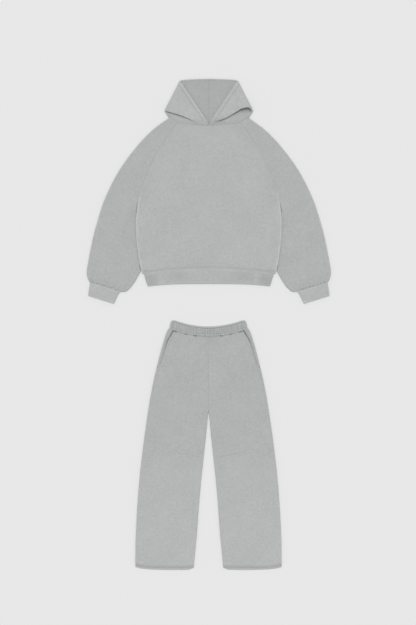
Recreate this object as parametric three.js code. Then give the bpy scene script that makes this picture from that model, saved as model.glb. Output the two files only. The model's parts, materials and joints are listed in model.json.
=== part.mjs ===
// A grey fleece tracksuit laid flat: a hooded pullover with raglan sleeves above, wide-leg trousers below.
// Millimetres, +Z up. X runs across the garments, +Y runs from the trouser hems towards the hood.
// The origin is on the ground under the middle of the pair. Every piece of cloth is a thin closed wall.
import * as THREE from "three";

const { lerp, smoothstep, clamp } = THREE.MathUtils;
const QUARTER_TURN = Math.PI / 2;

// Cloth
const FLEECE = 2.4; // brushed-back fleece
const RIB = 3.0; // rib knit, sewn double
const SEAM = 0.4; // clear gap between two sewn pieces
const AIR = 2.6; // air between the front and back layers of a flattened garment
const PRESSED_AIR = 0.6; // the same where something lies on top

// Pullover. Heights are counted from just above the rib's lower edge.
const TOP = {
  hoodTop: 857,
  neckFront: 662, // front neck seam at the centre
  neckRaglan: { x: 132, y: 672 }, // where the raglan seams meet the neck seam
  shoulder: { x: 166.5, y: 694 }, // outer end of the neck seam
  armpit: 345,
  hemSeam: { centre: 62.5, drop: 22.5 }, // the rib's seam is lower at the sides
  ribHalfTop: 273,
  ribHalfBottom: 257,
  ribBottom: { centre: -3, drop: 10 },
};

// Half width of the body at each height: the side edge up to the armpit, then the raglan seam.
const BODY_SIDE = [
  { y: 43, half: 279 },
  { y: 65, half: 286.5 },
  { y: 124, half: 297 },
  { y: 198, half: 305 },
  { y: 254, half: 306 },
  { y: 305, half: 302.8 },
  { y: 362, half: 293 },
  { y: 441, half: 264.6 },
  { y: 535, half: 223 },
  { y: 614, half: 172.6 },
  { y: 672, half: 132 },
];

// Where the sleeve's outer fold is, opposite each height of its inner edge.
const SLEEVE_OUTER = [
  { inner: 72, x: 509.3, y: 74 },
  { inner: 105, x: 503.8, y: 104.5 },
  { inner: 140, x: 497.5, y: 137.5 },
  { inner: 180, x: 490, y: 174 },
  { inner: 220, x: 481.5, y: 210.5 },
  { inner: 262, x: 470, y: 252.5 },
  { inner: 300, x: 458, y: 292.5 },
  { inner: 345, x: 444.5, y: 333.5 },
  { inner: 454, x: 385.5, y: 457.5 },
  { inner: 563, x: 290, y: 588.5 },
  { inner: 618, x: 229, y: 648.5 },
  { inner: 672, x: 166.5, y: 694 },
];

// The full end of the sleeve, which is gathered into the cuff. Each row is one section across the sleeve.
const SLEEVE_END = [
  { innerX: 286.6, innerY: 53, outerX: 512.2, outerY: 54 },
  { innerX: 298.2, innerY: 28.5, outerX: 512, outerY: 38 },
  { innerX: 315, innerY: 0, outerX: 509.5, outerY: 25 },
  { innerX: 336, innerY: -25, outerX: 506, outerY: 16 },
  { innerX: 350, innerY: -34, outerX: 502.5, outerY: 9.5 },
  { innerX: 369, innerY: -35.5, outerX: 499.3, outerY: 4 },
];

const CUFF = {
  outerEnd: { x: 506.5, y: -51 },
  innerEnd: { x: 397.5, y: -85 },
  waist: { x: 384, y: -50 }, // the inner edge draws in here
  stepOuter: 1, // the sleeve stands this far proud of the cuff at its outer side
  stepInner: 3,
  air: 1.6,
};

// How far the sleeve's inner edge lies under the body.
const TUCK = [
  { y: 72, under: -0.8 },
  { y: 100, under: 5 },
  { y: 150, under: 8 },
  { y: 240, under: 10 },
  { y: 272, under: 6 },
  { y: 300, under: -0.6 },
  { y: 345, under: -0.6 },
];

const BODY_LIFT = { height: 6, from: 55, full: 14, fadeBottom: [46, 62], fadeTop: [302, 345] };

// Hood. The flap is the cheek of the hood, folded forwards over its own foot; its lower edge is a fold.
const HOOD = {
  corner: { x: 121.5, y: 847.5 }, // centre of the roll at the top corner
  brimCorner: { x: 118, y: 844.5 },
  tip: { x: 184.6, y: 723.5 }, // centre of the roll at the outer tip
  shoulder: { x: 163, y: 692 },
  foldRadius: 2.4,
  foldDepth: 11, // how far the foot goes up under the flap
  flapSettles: 62, // the flap comes down on the back of the hood over this distance
  backLevelWithTip: 712,
};

// Lower edge of each flap, from the centre front to the tip. The right one is curled up near its tip.
const FLAP_EDGE = {
  left: [
    { x: 0, y: 674 },
    { x: 27, y: 676 },
    { x: 62, y: 681.5 },
    { x: 110, y: 700 },
    { x: 149, y: 712 },
    { x: 186, y: 722 },
  ],
  right: [
    { x: 0, y: 674 },
    { x: 31, y: 680 },
    { x: 57, y: 686 },
    { x: 108, y: 713 },
    { x: 140, y: 731 },
    { x: 163, y: 735 },
    { x: 186, y: 723 },
  ],
};

// Trousers. Heights are counted from just above the hems' lowest line.
const LEG = {
  crotch: 655,
  waistSeam: { centre: 976, rise: 32 }, // higher at the sides
  waistHalf: 164,
  backHem: -4.6,
  backColumns: 5,
};

// The hems rise towards the seams. share runs from the inseam to the outer seam.
const HEM = [
  { share: 0, front: 15, back: 5 },
  { share: 0.1, front: 14.5, back: -3.6 },
  { share: 0.4, front: 14, back: -4.6 },
  { share: 0.7, front: 14, back: -2.6 },
  { share: 0.9, front: 15.5, back: 1.6 },
  { share: 1, front: 12, back: 8 },
];

const OUTSEAM = [
  { y: 0, x: 306.8 },
  { y: 101, x: 306.2 },
  { y: 202, x: 302 },
  { y: 303, x: 295.8 },
  { y: 404, x: 287 },
  { y: 504, x: 275.2 },
  { y: 605, x: 261.6 },
  { y: 698, x: 247.4 },
  { y: 765, x: 235.2 },
  { y: 832, x: 220.4 },
  { y: 899, x: 203.5 },
  { y: 941, x: 191.4 },
  { y: 983, x: 177.6 },
  { y: 1004, x: 167.5 },
];

const INSEAM = [
  { y: 0, x: 62 },
  { y: 51, x: 57.6 },
  { y: 152, x: 48.5 },
  { y: 252, x: 41.2 },
  { y: 353, x: 32.8 },
  { y: 454, x: 22 },
  { y: 555, x: 10.6 },
  { y: 610, x: 5.1 },
  { y: 655, x: 0 },
];

// The slanted pocket mouth is the free edge of the trouser front.
const POCKET_MOUTH = [
  { y: 845, x: 214.6 },
  { y: 868, x: 206 },
  { y: 916, x: 190 },
  { y: 952, x: 173 },
  { y: 1000, x: 148.7 },
];
const POCKET = { closed: 838, open: 868, step: 3.1, cover: 20, facingUnder: 15, facingFoot: 870 };

const WAISTBAND = {
  halfBottom: 164,
  halfMiddle: 162.5,
  halfTop: 154,
  top: { centre: 1017.5, rise: 25, risesTo: 0.9 }, // the back edge, which stands above the front one
  frontLower: 6.5,
  channel: 0.28, // share of the height below the elastic's stitch line
  gathers: 34, // counted across the front
  gatherDepth: 1.1,
};

const PLEATS_AT_CUFF = 5;
const WAIST_PUCKERS = 5; // on each trouser front

const TOTAL_LENGTH = 2060.7; // hood top to trouser hems, as the pair is laid out
const TOP_AT = TOTAL_LENGTH / 2 - TOP.hoodTop;
const LEG_AT = -TOTAL_LENGTH / 2 - LEG.backHem;
const LEG_SHIFT = -1.5; // the trousers lie this far off the pullover's middle

// Helpers

const steps = (count) => Array.from({ length: count + 1 }, (_, k) => k / count);
const between = (count) => steps(count).slice(1, -1);

// A smooth curve through a table's rows that never overshoots them.
function follow(table, from, to) {
  const x = table.map((row) => row[from]);
  const y = table.map((row) => row[to]);
  const slope = x.slice(1).map((v, i) => (y[i + 1] - y[i]) / (v - x[i]));
  const tangent = x.map((_, i) => {
    const before = slope[Math.max(0, i - 1)];
    const after = slope[Math.min(slope.length - 1, i)];
    return before * after <= 0 ? 0 : (2 * before * after) / (before + after);
  });
  return (at) => {
    const i = clamp(x.findIndex((v) => v > at) - 1, 0, slope.length - 1);
    const k = at >= x.at(-1) ? slope.length - 1 : i;
    const width = x[k + 1] - x[k];
    const t = clamp((at - x[k]) / width, 0, 1);
    const [t2, t3] = [t * t, t * t * t];
    const ends = (2 * t3 - 3 * t2 + 1) * y[k] + (3 * t2 - 2 * t3) * y[k + 1];
    return ends + width * ((t3 - 2 * t2 + t) * tangent[k] + (t3 - t2) * tangent[k + 1]);
  };
}

// The direction of a line of points at point k. At a free end it is that of an arc through three points.
function directionAt(line, k, round) {
  const last = line.length - 1;
  if (round || (k > 0 && k < last)) {
    return line[(k + 1) % line.length].clone().sub(line.at(k - 1));
  }
  const [a, b, c] = k === 0 ? line : line.slice(-3).reverse();
  const [near, far] = [b.clone().sub(a), c.clone().sub(b)];
  const share = near.length() / (near.length() + far.length());
  const next = near.normalize().clone().lerp(far.normalize(), share).normalize();
  const end = near.multiplyScalar(2 * near.dot(next)).sub(next);
  return k === 0 ? end : end.negate();
}

// A closed cloth wall round a grid of middle points. round joins the last column to the first.
// first and last give, for an end row that lies along a seam, the direction on the ground square to it.
function clothWall(grid, thickness, { round = false, first, last } = {}) {
  const rows = grid.length;
  const columns = grid[0].length;
  const column = (j) => (round ? (j + columns) % columns : clamp(j, 0, columns - 1));
  const lengthwise = grid[0].map((_, j) => grid.map((row) => row[j]));
  const outer = [];
  const inner = [];
  grid.forEach((row, i) => {
    const squareToSeam = { 0: first, [rows - 1]: last }[i];
    row.forEach((point, j) => {
      const up = directionAt(lengthwise[j], i, false);
      if (squareToSeam) {
        const square = squareToSeam(point);
        up.copy(square.multiplyScalar(Math.sign(square.dot(up))));
      }
      const normal = up.cross(directionAt(row, j, round)).normalize().multiplyScalar(thickness / 2);
      outer.push(point.clone().add(normal));
      inner.push(point.clone().sub(normal));
    });
  });
  const points = [...outer, ...inner];
  const back = outer.length;
  const at = (i, j) => i * columns + column(j);
  const faces = [];
  const quad = (a, b, c, d) => faces.push([a, b, c], [a, c, d]);
  const strips = round ? columns : columns - 1;
  for (let i = 0; i < rows - 1; i += 1) {
    for (let j = 0; j < strips; j += 1) {
      const [a, b, c, d] = [at(i, j), at(i, j + 1), at(i + 1, j + 1), at(i + 1, j)];
      quad(a, b, c, d);
      quad(back + d, back + c, back + b, back + a);
    }
  }
  for (let j = 0; j < strips; j += 1) {
    quad(at(0, j + 1), at(0, j), back + at(0, j), back + at(0, j + 1));
    quad(at(rows - 1, j), at(rows - 1, j + 1), back + at(rows - 1, j + 1), back + at(rows - 1, j));
  }
  if (!round) {
    for (let i = 0; i < rows - 1; i += 1) {
      quad(at(i, 0), at(i + 1, 0), back + at(i + 1, 0), back + at(i, 0));
      quad(at(i + 1, strips), at(i, strips), back + at(i, strips), back + at(i + 1, strips));
    }
  }
  return closedGeometry(points, faces);
}

// Faces point outwards whichever way round the grid was made, and nothing reaches below the ground.
function closedGeometry(points, faces) {
  points.forEach((p) => {
    p.z = Math.max(0, p.z);
  });
  const volume = faces.reduce(
    (sum, [a, b, c]) => sum + points[a].dot(points[b].clone().cross(points[c])),
    0,
  );
  const facing = volume > 0 ? faces : faces.map(([a, b, c]) => [a, c, b]);
  return new THREE.BufferGeometry().setFromPoints(points).setIndex(facing.flat());
}

// A layer's points from its seam edge inwards, each { inset, z }. With bend 0 the layer stays flat up to a
// butted seam. With bend 1 it rolls a quarter turn towards the other layer, and the two meet at a side seam.
function layerEdge(bend, z, otherZ, thickness, count) {
  const half = thickness / 2;
  const middle = (z + otherZ) / 2;
  const radius = Math.abs(z - middle);
  const seamZ = middle + (Math.sign(z - otherZ) * SEAM) / 2;
  return steps(count).map((share) => {
    const turn = share * QUARTER_TURN;
    return {
      inset: lerp(
        lerp(SEAM / 2, half + radius, share),
        half + radius * (1 - Math.cos(turn)),
        bend,
      ),
      z: lerp(z, lerp(seamZ, z, Math.sin(turn)), bend),
    };
  });
}

const backMiddle = (thickness) => thickness / 2;
const frontMiddle = (thickness, air) => thickness * 1.5 + air;

// The direction on the ground square to a seam line y(x), and the line through two points, the same for
// both sides of the body.
const squareTo = (line) => (p) => new THREE.Vector3((line(p.x - 1) - line(p.x + 1)) / 2, 1, 0);
const lineThrough = (a, b) => (x) => a.y + ((Math.abs(x) - a.x) * (b.y - a.y)) / (b.x - a.x);

// Pullover outlines

const bodyHalf = follow(BODY_SIDE, "y", "half");
const tuckUnder = follow(TUCK, "y", "under");
const sleeveOuterX = follow(SLEEVE_OUTER, "inner", "x");
const sleeveOuterY = follow(SLEEVE_OUTER, "inner", "y");

const bow = ({ centre, drop }, half, power) => (x) => centre - drop * Math.abs(x / half) ** power;
const hemSeam = bow(TOP.hemSeam, BODY_SIDE[0].half, 1.9);
const ribBottom = bow(TOP.ribBottom, TOP.ribHalfBottom, 3.3);

// The neck seam from the raglan point to the shoulder is a straight line, at the front and at the back.
function neckSeam(x, centre) {
  const { neckRaglan, shoulder } = TOP;
  const beyond = Math.abs(x) - neckRaglan.x;
  if (beyond > 0) {
    const slope = (shoulder.y - neckRaglan.y) / (shoulder.x - neckRaglan.x);
    return neckRaglan.y + beyond * slope;
  }
  return centre + (neckRaglan.y - centre) * Math.abs(x / neckRaglan.x) ** 1.6;
}
const neckSeamFront = (x) => neckSeam(x, TOP.neckFront);
const neckSeamBack = (x) => neckSeam(x, TOP.neckRaglan.y);

// Stations shared by the body and the sleeves, so that both sides of a raglan seam have the same points.
const RAGLAN_STEPS = 6;
const raglanHeights = steps(RAGLAN_STEPS).map((t) => lerp(TOP.armpit, TOP.neckRaglan.y, t));
const bodyColumns = [-0.93, -0.78, -0.58, -0.38, -0.19, 0, 0.19, 0.38, 0.58, 0.78, 0.93];
const sideHeights = [43, 52, 62, 84, 105, 140, 180, 220, 262, 300, 322];

function bodyLift(x, y) {
  const half = bodyHalf(y);
  const across = smoothstep(Math.abs(x), half - BODY_LIFT.from, half - BODY_LIFT.full);
  const low = smoothstep(y, ...BODY_LIFT.fadeBottom);
  const high = 1 - smoothstep(y, ...BODY_LIFT.fadeTop);
  return BODY_LIFT.height * across * low * high;
}

// The body blouses a little over the rib and is pressed flatter along its side edges.
function bodyAir(x, y) {
  const aboveHem = y - hemSeam(x);
  const blouse = 1.0 * Math.exp(-(((aboveHem - 15) / 10) ** 2));
  const atSeam = 1 - smoothstep(aboveHem, 0, 8);
  const overSleeve = bodyLift(x, y) / BODY_LIFT.height;
  return AIR + blouse - 1.6 * atSeam - 1.0 * overSleeve;
}

const sideBend = (y) => 1 - smoothstep(y, TOP.armpit - 30, TOP.armpit + 12);

// One panel of the body, front or back, as rows from the rib seam up to the neck seam.
function bodyPanel(isFront) {
  const neck = isFront ? neckSeamFront : neckSeamBack;
  const heights = [...sideHeights, ...raglanHeights];
  const edgeSteps = 3;
  const grid = heights.map((height) => {
    const half = bodyHalf(height);
    const nearHem = 1 - smoothstep(height, 43, 180);
    const nearNeck = smoothstep(height, 508, TOP.neckRaglan.y);
    const rowY = (x) =>
      height +
      nearHem * (hemSeam((x / half) * BODY_SIDE[0].half) + SEAM - sideHeights[0]) +
      nearNeck * (neck((x / half) * TOP.neckRaglan.x) - TOP.neckRaglan.y);
    const levels = (x) => {
      const ground = bodyLift(x, height);
      const back = ground + backMiddle(FLEECE);
      const front = ground + frontMiddle(FLEECE, bodyAir(x, height));
      return isFront ? [front, back] : [back, front];
    };
    const flatHalf = half - layerEdge(1, ...levels(half), FLEECE, edgeSteps).at(-1).inset;
    const edge = layerEdge(sideBend(height), ...levels(flatHalf), FLEECE, edgeSteps);
    const side = edge.map(({ inset, z }) => new THREE.Vector3(half - inset, rowY(half - inset), z));
    const mirrored = side.map((p) => new THREE.Vector3(-p.x, p.y, p.z));
    const middle = bodyColumns.map((share) => {
      const x = share * half;
      return new THREE.Vector3(x, rowY(x), levels(x)[0]);
    });
    return [...mirrored, ...middle, ...side.reverse()];
  });
  return clothWall(grid, FLEECE, { first: squareTo(hemSeam) });
}

// Sections across a sleeve, from the neck seam to the cuff seam, for the sleeve on the +X side.
function sleeveSections() {
  const down = [...sideHeights.slice(4), ...raglanHeights].reverse();
  const upper = [...down, 84, 72].map((height) => ({
    inner: new THREE.Vector2(
      bodyHalf(height) - (height < TOP.armpit ? tuckUnder(height) : 0),
      height,
    ),
    outer: new THREE.Vector2(sleeveOuterX(height), sleeveOuterY(height)),
    bend: sideBend(height),
    tucked: height < 262 ? 1 : 1 - smoothstep(height, 262, 330),
    toCuff: 0,
  }));
  const end = SLEEVE_END.map((row, k) => ({
    inner: new THREE.Vector2(row.innerX, row.innerY),
    outer: new THREE.Vector2(row.outerX, row.outerY),
    bend: 1,
    tucked: 1 - smoothstep(k, -1, 2),
    toCuff: (k + 1) / SLEEVE_END.length,
  }));
  return [...upper, ...end];
}

// The sleeve is one piece of cloth: front layer, outer fold, back layer, with its two long edges meeting
// at the underarm seam, and above the armpit at the raglan seams.
function sleeve(side) {
  const edgeSteps = 2;
  const foldSteps = 4;
  const sections = sleeveSections();
  const grid = sections.map(({ inner, outer, bend, tucked, toCuff }) => {
    const along = outer.clone().sub(inner);
    const width = along.length();
    along.normalize();
    const place = (s, z) => new THREE.Vector3(side * (inner.x + along.x * s), inner.y + along.y * s, z);
    const airAt = (s) => {
      const puffed = 1.0 * Math.sin(Math.PI * Math.min(1, toCuff * 1.1)) - 1.0 * smoothstep(toCuff, 0.8, 1);
      const pressed = tucked * (1 - smoothstep(s, 14, 50)) * (AIR - PRESSED_AIR);
      return AIR + puffed * smoothstep(s, 4, 40) - pressed;
    };
    const back = backMiddle(FLEECE);
    const front = (s) => frontMiddle(FLEECE, airAt(s));
    const innerFront = layerEdge(bend, front(0), back, FLEECE, edgeSteps);
    const innerBack = layerEdge(bend, back, front(0), FLEECE, edgeSteps);
    const foldRadius = (front(width) - back) / 2;
    const foldCentre = width - FLEECE / 2 - foldRadius;
    const flatFrom = innerFront.at(-1).inset;
    const pleat = (k) => (toCuff > 0.6 ? (k % 2 ? 0.9 : -0.3) * smoothstep(toCuff, 0.6, 0.95) : 0);
    const frontFlat = between(2 * PLEATS_AT_CUFF).map((t, k) => {
      const s = lerp(flatFrom, foldCentre, t);
      return place(s, front(s) + pleat(k));
    });
    const fold = steps(foldSteps).map((t) => {
      const turn = QUARTER_TURN * (1 - 2 * t);
      return place(
        foldCentre + foldRadius * Math.cos(turn),
        back + foldRadius * (1 + Math.sin(turn)),
      );
    });
    const backFlat = between(3).map((t) => place(lerp(foldCentre, flatFrom, t), back));
    return [
      ...innerFront.map(({ inset, z }) => place(inset, z)),
      ...frontFlat,
      ...fold,
      ...backFlat,
      ...innerBack.map(({ inset, z }) => place(inset, z)).reverse(),
    ];
  });
  const [neck, wrist] = [sections[0], sections.at(-1)].map(({ inner, outer }) => lineThrough(inner, outer));
  return clothWall(grid, FLEECE, { first: squareTo(neck), last: squareTo(wrist) });
}

const still = () => new THREE.Vector2();

// A flattened tube: the loop of one section between two silhouette points a and b. airAt gives the air
// between its layers, wave raises single points of the front layer, and shift moves points of the section.
// frontAt and backAt are the places of the layers' columns, as shares of the way from a to b.
function tubeLoop({ a, b, thickness, airAt, frontAt, backAt, wave = () => 0, shift = still }) {
  const foldSteps = 4;
  const along = b.clone().sub(a);
  const width = along.length();
  along.normalize();
  const back = thickness / 2;
  const front = (t) => frontMiddle(thickness, airAt(t));
  const radius = (front(0) - back) / 2;
  const inset = thickness / 2 + radius;
  const place = (s, z, onFront) => {
    const t = clamp(s / width, 0, 1);
    const moved = shift(t, onFront);
    return new THREE.Vector3(a.x + along.x * s + moved.x, a.y + along.y * s + moved.y, z);
  };
  const fold = (centre, from) =>
    steps(foldSteps).map((t) => {
      const turn = from + Math.PI * t;
      const up = (1 + Math.sin(turn)) / 2;
      return place(centre - radius * Math.cos(turn), back + 2 * radius * up, up);
    });
  const frontFlat = frontAt.map((t, k) => place(t * width, front(t) + wave(k), 1));
  const backFlat = backAt.map((t) => place(t * width, back, 0)).reverse();
  return [
    ...fold(inset, -QUARTER_TURN),
    ...frontFlat,
    ...fold(width - inset, QUARTER_TURN),
    ...backFlat,
  ];
}

// The rib cuff is a short tube, narrower than the sleeve that is gathered into it.
function cuff(side) {
  const last = SLEEVE_END.at(-1);
  const outer = new THREE.Vector2(last.outerX, last.outerY);
  const inner = new THREE.Vector2(last.innerX, last.innerY);
  const along = outer.clone().sub(inner).normalize();
  const away = new THREE.Vector2(along.y, -along.x).multiplyScalar(SEAM);
  const topOuter = outer.clone().add(away).addScaledVector(along, -CUFF.stepOuter);
  const topInner = inner.clone().add(away).addScaledVector(along, CUFF.stepInner);
  const outerEnd = new THREE.Vector2(CUFF.outerEnd.x, CUFF.outerEnd.y);
  const innerLine = new THREE.QuadraticBezierCurve(
    topInner,
    new THREE.Vector2(CUFF.waist.x, CUFF.waist.y),
    new THREE.Vector2(CUFF.innerEnd.x, CUFF.innerEnd.y),
  );
  const grid = steps(4).map((t) => {
    const a = innerLine.getPoint(t);
    const b = topOuter.clone().lerp(outerEnd, t);
    const airAt = (s) => CUFF.air + 0.8 * Math.sin(Math.PI * t) * Math.sin(Math.PI * s);
    return tubeLoop({ a, b, thickness: RIB, airAt, frontAt: between(7), backAt: between(3) }).map(
      (p) => new THREE.Vector3(side * p.x, p.y, p.z),
    );
  });
  return clothWall(grid, RIB, {
    round: true,
    first: squareTo(lineThrough(topInner, topOuter)),
    last: squareTo(lineThrough(CUFF.innerEnd, CUFF.outerEnd)),
  });
}

// The rib at the hem is a wide, low tube. Its seam with the body is bowed, its lower edge nearly straight.
function hemRib() {
  const grid = steps(4).map((t) => {
    const half = lerp(TOP.ribHalfTop, TOP.ribHalfBottom, t);
    const a = new THREE.Vector2(-half, 0);
    const b = new THREE.Vector2(half, 0);
    const airAt = (s) => 1.2 + 1.2 * Math.sin(Math.PI * t) + 0.5 * Math.sin(Math.PI * t) * Math.cos(5 * Math.PI * s);
    const shift = (s) => {
      const x = lerp(-half, half, s);
      const seam = hemSeam(x);
      const bottom = ribBottom(x);
      return new THREE.Vector2(0, lerp(seam, bottom, t));
    };
    const columns = bodyColumns.map((share) => (1 + (share * BODY_SIDE[0].half) / TOP.ribHalfTop) / 2);
    return tubeLoop({ a, b, thickness: RIB, airAt, frontAt: columns, backAt: columns, shift });
  });
  return clothWall(grid, RIB, { round: true, first: squareTo(hemSeam) });
}

// One half of the hood. It starts at the neck seam, goes up as the foot, folds back under the flap, folds
// again at the flap's lower edge and goes up as the flap. Past the outer roll it is the back of the hood,
// whose inside shows between the brim edges, up to the centre seam.
function hoodHalf(side) {
  const flapEdge = follow(side > 0 ? FLAP_EDGE.right : FLAP_EDGE.left, "x", "y");
  const { foldRadius: radius, foldDepth, corner, brimCorner, tip, shoulder } = HOOD;
  const flapSteps = 8;
  const rollSteps = 4;
  const backSteps = 5;
  const foldSteps = 3;
  const footRows = 2;
  const risingRows = [0, 0.1, 0.2, 0.32, 0.46, 0.6, 0.74, 0.86, 0.94, 0.955, 1];
  const level = frontMiddle(FLEECE, AIR);
  const ground = backMiddle(FLEECE);

  // A path up one column as { n, z, rise }: n along the foot's direction, rise 0 to 1 along the flap.
  const foldPath = (visible) => {
    const flapFold = visible + radius + FLEECE / 2;
    const footFold = flapFold + foldDepth;
    const foot = steps(footRows).slice(0, -1).map((t) => ({ n: t * footFold, z: 0 }));
    const hidden = steps(foldSteps).map((t) => {
      const turn = lerp(-QUARTER_TURN, QUARTER_TURN, t);
      return { n: footFold + radius * Math.cos(turn), z: radius * (1 + Math.sin(turn)) };
    });
    const shown = steps(foldSteps).map((t) => {
      const turn = lerp(-QUARTER_TURN, QUARTER_TURN, t);
      return { n: flapFold - radius * Math.cos(turn), z: radius * (3 + Math.sin(turn)) };
    });
    return { path: [...foot, ...hidden, ...shown], flapFold };
  };
  const lowRows = footRows + 2 * (foldSteps + 1);

  const footAt = (f) => {
    const x = lerp(SEAM / 2, shoulder.x, f);
    return new THREE.Vector2(x, neckSeamFront(x) + SEAM);
  };
  const edgeAt = (f) => {
    const x = lerp(3, tip.x, f);
    return new THREE.Vector2(x, lerp(flapEdge(x), tip.y, smoothstep(f, 0.93, 1)));
  };
  const topAt = (f) =>
    new THREE.Vector2(lerp(brimCorner.x, corner.x, f), lerp(brimCorner.y, corner.y, f));

  // The flap's columns, each a list of points from the neck seam to the top corner.
  const flapColumn = (f) => {
    const foot = footAt(f);
    const edge = edgeAt(f);
    const top = topAt(f);
    const direction = edge.clone().sub(foot).normalize();
    const folded = 1 - smoothstep(f, 0.8, 1);
    const { path, flapFold } = foldPath(edge.distanceTo(foot));
    const plainEnd = edge.distanceTo(foot);
    const lastLow = path.length - 1;
    const low = path.map(({ n, z }, k) => {
      const plain = (k / lastLow) * plainEnd;
      const along = lerp(plain, n, folded);
      const p = foot.clone().addScaledVector(direction, along);
      return new THREE.Vector3(p.x, p.y, level + z * folded);
    });
    const start = foot.clone().addScaledVector(direction, lerp(plainEnd, flapFold, folded));
    const reach = top.distanceTo(start);
    const rising = risingRows.slice(1).map((rise) => {
      const p = start.clone().lerp(top, rise);
      const settled = smoothstep(rise * reach, 0, HOOD.flapSettles);
      return new THREE.Vector3(p.x, p.y, level + 4 * radius * folded * (1 - settled));
    });
    return [...low, ...rising];
  };

  const columns = steps(flapSteps).map(flapColumn);
  const roll = columns.at(-1);
  const rows = roll.length;
  const shareUp = (i) => (i < lowRows ? 0 : risingRows[i - lowRows + 1]);

  // Outwards from the roll's centre line: along the neck seam at the foot, square to the edge above it.
  const seamDirection = new THREE.Vector2(
    TOP.shoulder.x - TOP.neckRaglan.x,
    TOP.shoulder.y - TOP.neckRaglan.y,
  ).normalize();
  const outwards = roll.map((_, i) => {
    const next = roll[Math.min(i + 1, rows - 1)];
    const before = roll[Math.max(i - 1, 0)];
    const square = new THREE.Vector2(next.y - before.y, before.x - next.x).normalize();
    return seamDirection.clone().lerp(square, clamp(i / 4, 0, 1)).normalize();
  });

  const grid = roll.map((centre, i) => {
    const rollRadius = (centre.z - ground) / 2;
    const flap = columns.slice(0, -1).map((column) => column[i]);
    const fold = steps(rollSteps).map((t) => {
      const turn = QUARTER_TURN * (1 - 2 * t);
      const out = rollRadius * Math.cos(turn);
      return new THREE.Vector3(
        centre.x + outwards[i].x * out,
        centre.y + outwards[i].y * out,
        ground + rollRadius * (1 + Math.sin(turn)),
      );
    });
    const back = steps(backSteps)
      .slice(1)
      .map((b) => {
        const low = Math.min(1, i / (lowRows - 1));
        const footX = lerp(centre.x, SEAM / 2, b);
        const base = neckSeamBack(footX) + SEAM;
        const withTip = lerp(roll[lowRows - 1].y, HOOD.backLevelWithTip, b);
        const top = lerp(corner.y, TOP.hoodTop, b);
        const y = i < lowRows ? lerp(base, withTip, low) : lerp(withTip, top, shareUp(i));
        const curl = 2.2 * smoothstep(shareUp(i), 0.86, 1);
        return new THREE.Vector3(footX, y, ground + curl);
      });
    return [...flap, ...fold, ...back];
  });
  grid.flat().forEach((p) => {
    p.x *= side;
  });
  return clothWall(grid, FLEECE, { first: squareTo(neckSeamFront) });
}

// Trousers

const outseam = follow(OUTSEAM, "y", "x");
const inseam = follow(INSEAM, "y", "x");
const pocketMouth = follow(POCKET_MOUTH, "y", "x");
const waistSeam = (x) =>
  LEG.waistSeam.centre + LEG.waistSeam.rise * Math.min(1, Math.abs(x) / LEG.waistHalf) ** 2;
const frontHem = follow(HEM, "share", "front");
const backHem = follow(HEM, "share", "back");
const legHeights = [
  0, 30, 80, 150, 230, 310, 390, 470, 550, 610, 640, 655, 668, 720, 780, 838, 868, 915, 960, 984, 1004,
];
const innerBend = (y) => 1 - smoothstep(y, LEG.crotch - 15, LEG.crotch + 11);
const inseamEdge = (y) => Math.max(inseam(y), innerBend(y));

// The height of a row at a point across the leg: rows bow to the hem at the bottom and to the waist at the top.
function legRow(height, x, hem) {
  const innerEdge = inseamEdge(height);
  const share = clamp((x - innerEdge) / (outseam(height) - innerEdge), 0, 1);
  const nearHem = 1 - smoothstep(height, 0, 150);
  const nearWaist = smoothstep(height, 868, 1004);
  return height + nearHem * hem(share) + nearWaist * (waistSeam(x) - 1004);
}

const legAir = (y) => AIR - 1.0 * smoothstep(y, 960, 1000);

// One trouser front or back for the +X leg, as rows from the hem up to the waist seam.
function legPanel(side, isFront, across) {
  const edgeSteps = 2;
  const hem = isFront ? frontHem : backHem;
  const grid = legHeights.map((height) => {
    const opened = isFront ? smoothstep(height, POCKET.closed, POCKET.open) : 0;
    const seamEdge = outseam(height);
    const outerEdge = isFront && height > POCKET.closed
      ? lerp(seamEdge, pocketMouth(height), opened)
      : seamEdge;
    const innerEdge = inseamEdge(height);
    const rowY = (x) => legRow(height, x, hem);
    const levels = (x) => {
      const overFacing = opened * smoothstep(x, outerEdge - 2.4 * POCKET.cover, outerEdge - POCKET.cover);
      const back = backMiddle(FLEECE);
      const front = frontMiddle(FLEECE, legAir(height)) + POCKET.step * overFacing;
      return isFront ? [front, back] : [back, frontMiddle(FLEECE, legAir(height))];
    };
    const inner = layerEdge(innerBend(height), ...levels(innerEdge), FLEECE, edgeSteps);
    const outer = layerEdge(1 - opened, ...levels(outerEdge), FLEECE, edgeSteps);
    const from = innerEdge + inner.at(-1).inset;
    const to = outerEdge - outer.at(-1).inset;
    const pucker = (k) =>
      isFront ? (k % 2 ? 1.3 : -0.2) * smoothstep(height, 955, 1000) : 0;
    const middle = between(across).map((t, k) => {
      const x = lerp(from, to, t);
      return new THREE.Vector3(side * x, rowY(x), levels(x)[0] + pucker(k));
    });
    const point = (x, z) => new THREE.Vector3(side * x, rowY(x), z);
    return [
      ...inner.map(({ inset, z }) => point(innerEdge + inset, z)),
      ...middle,
      ...outer.map(({ inset, z }) => point(outerEdge - inset, z)).reverse(),
    ];
  });
  return clothWall(grid, FLEECE, { last: squareTo(waistSeam) });
}

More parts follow.
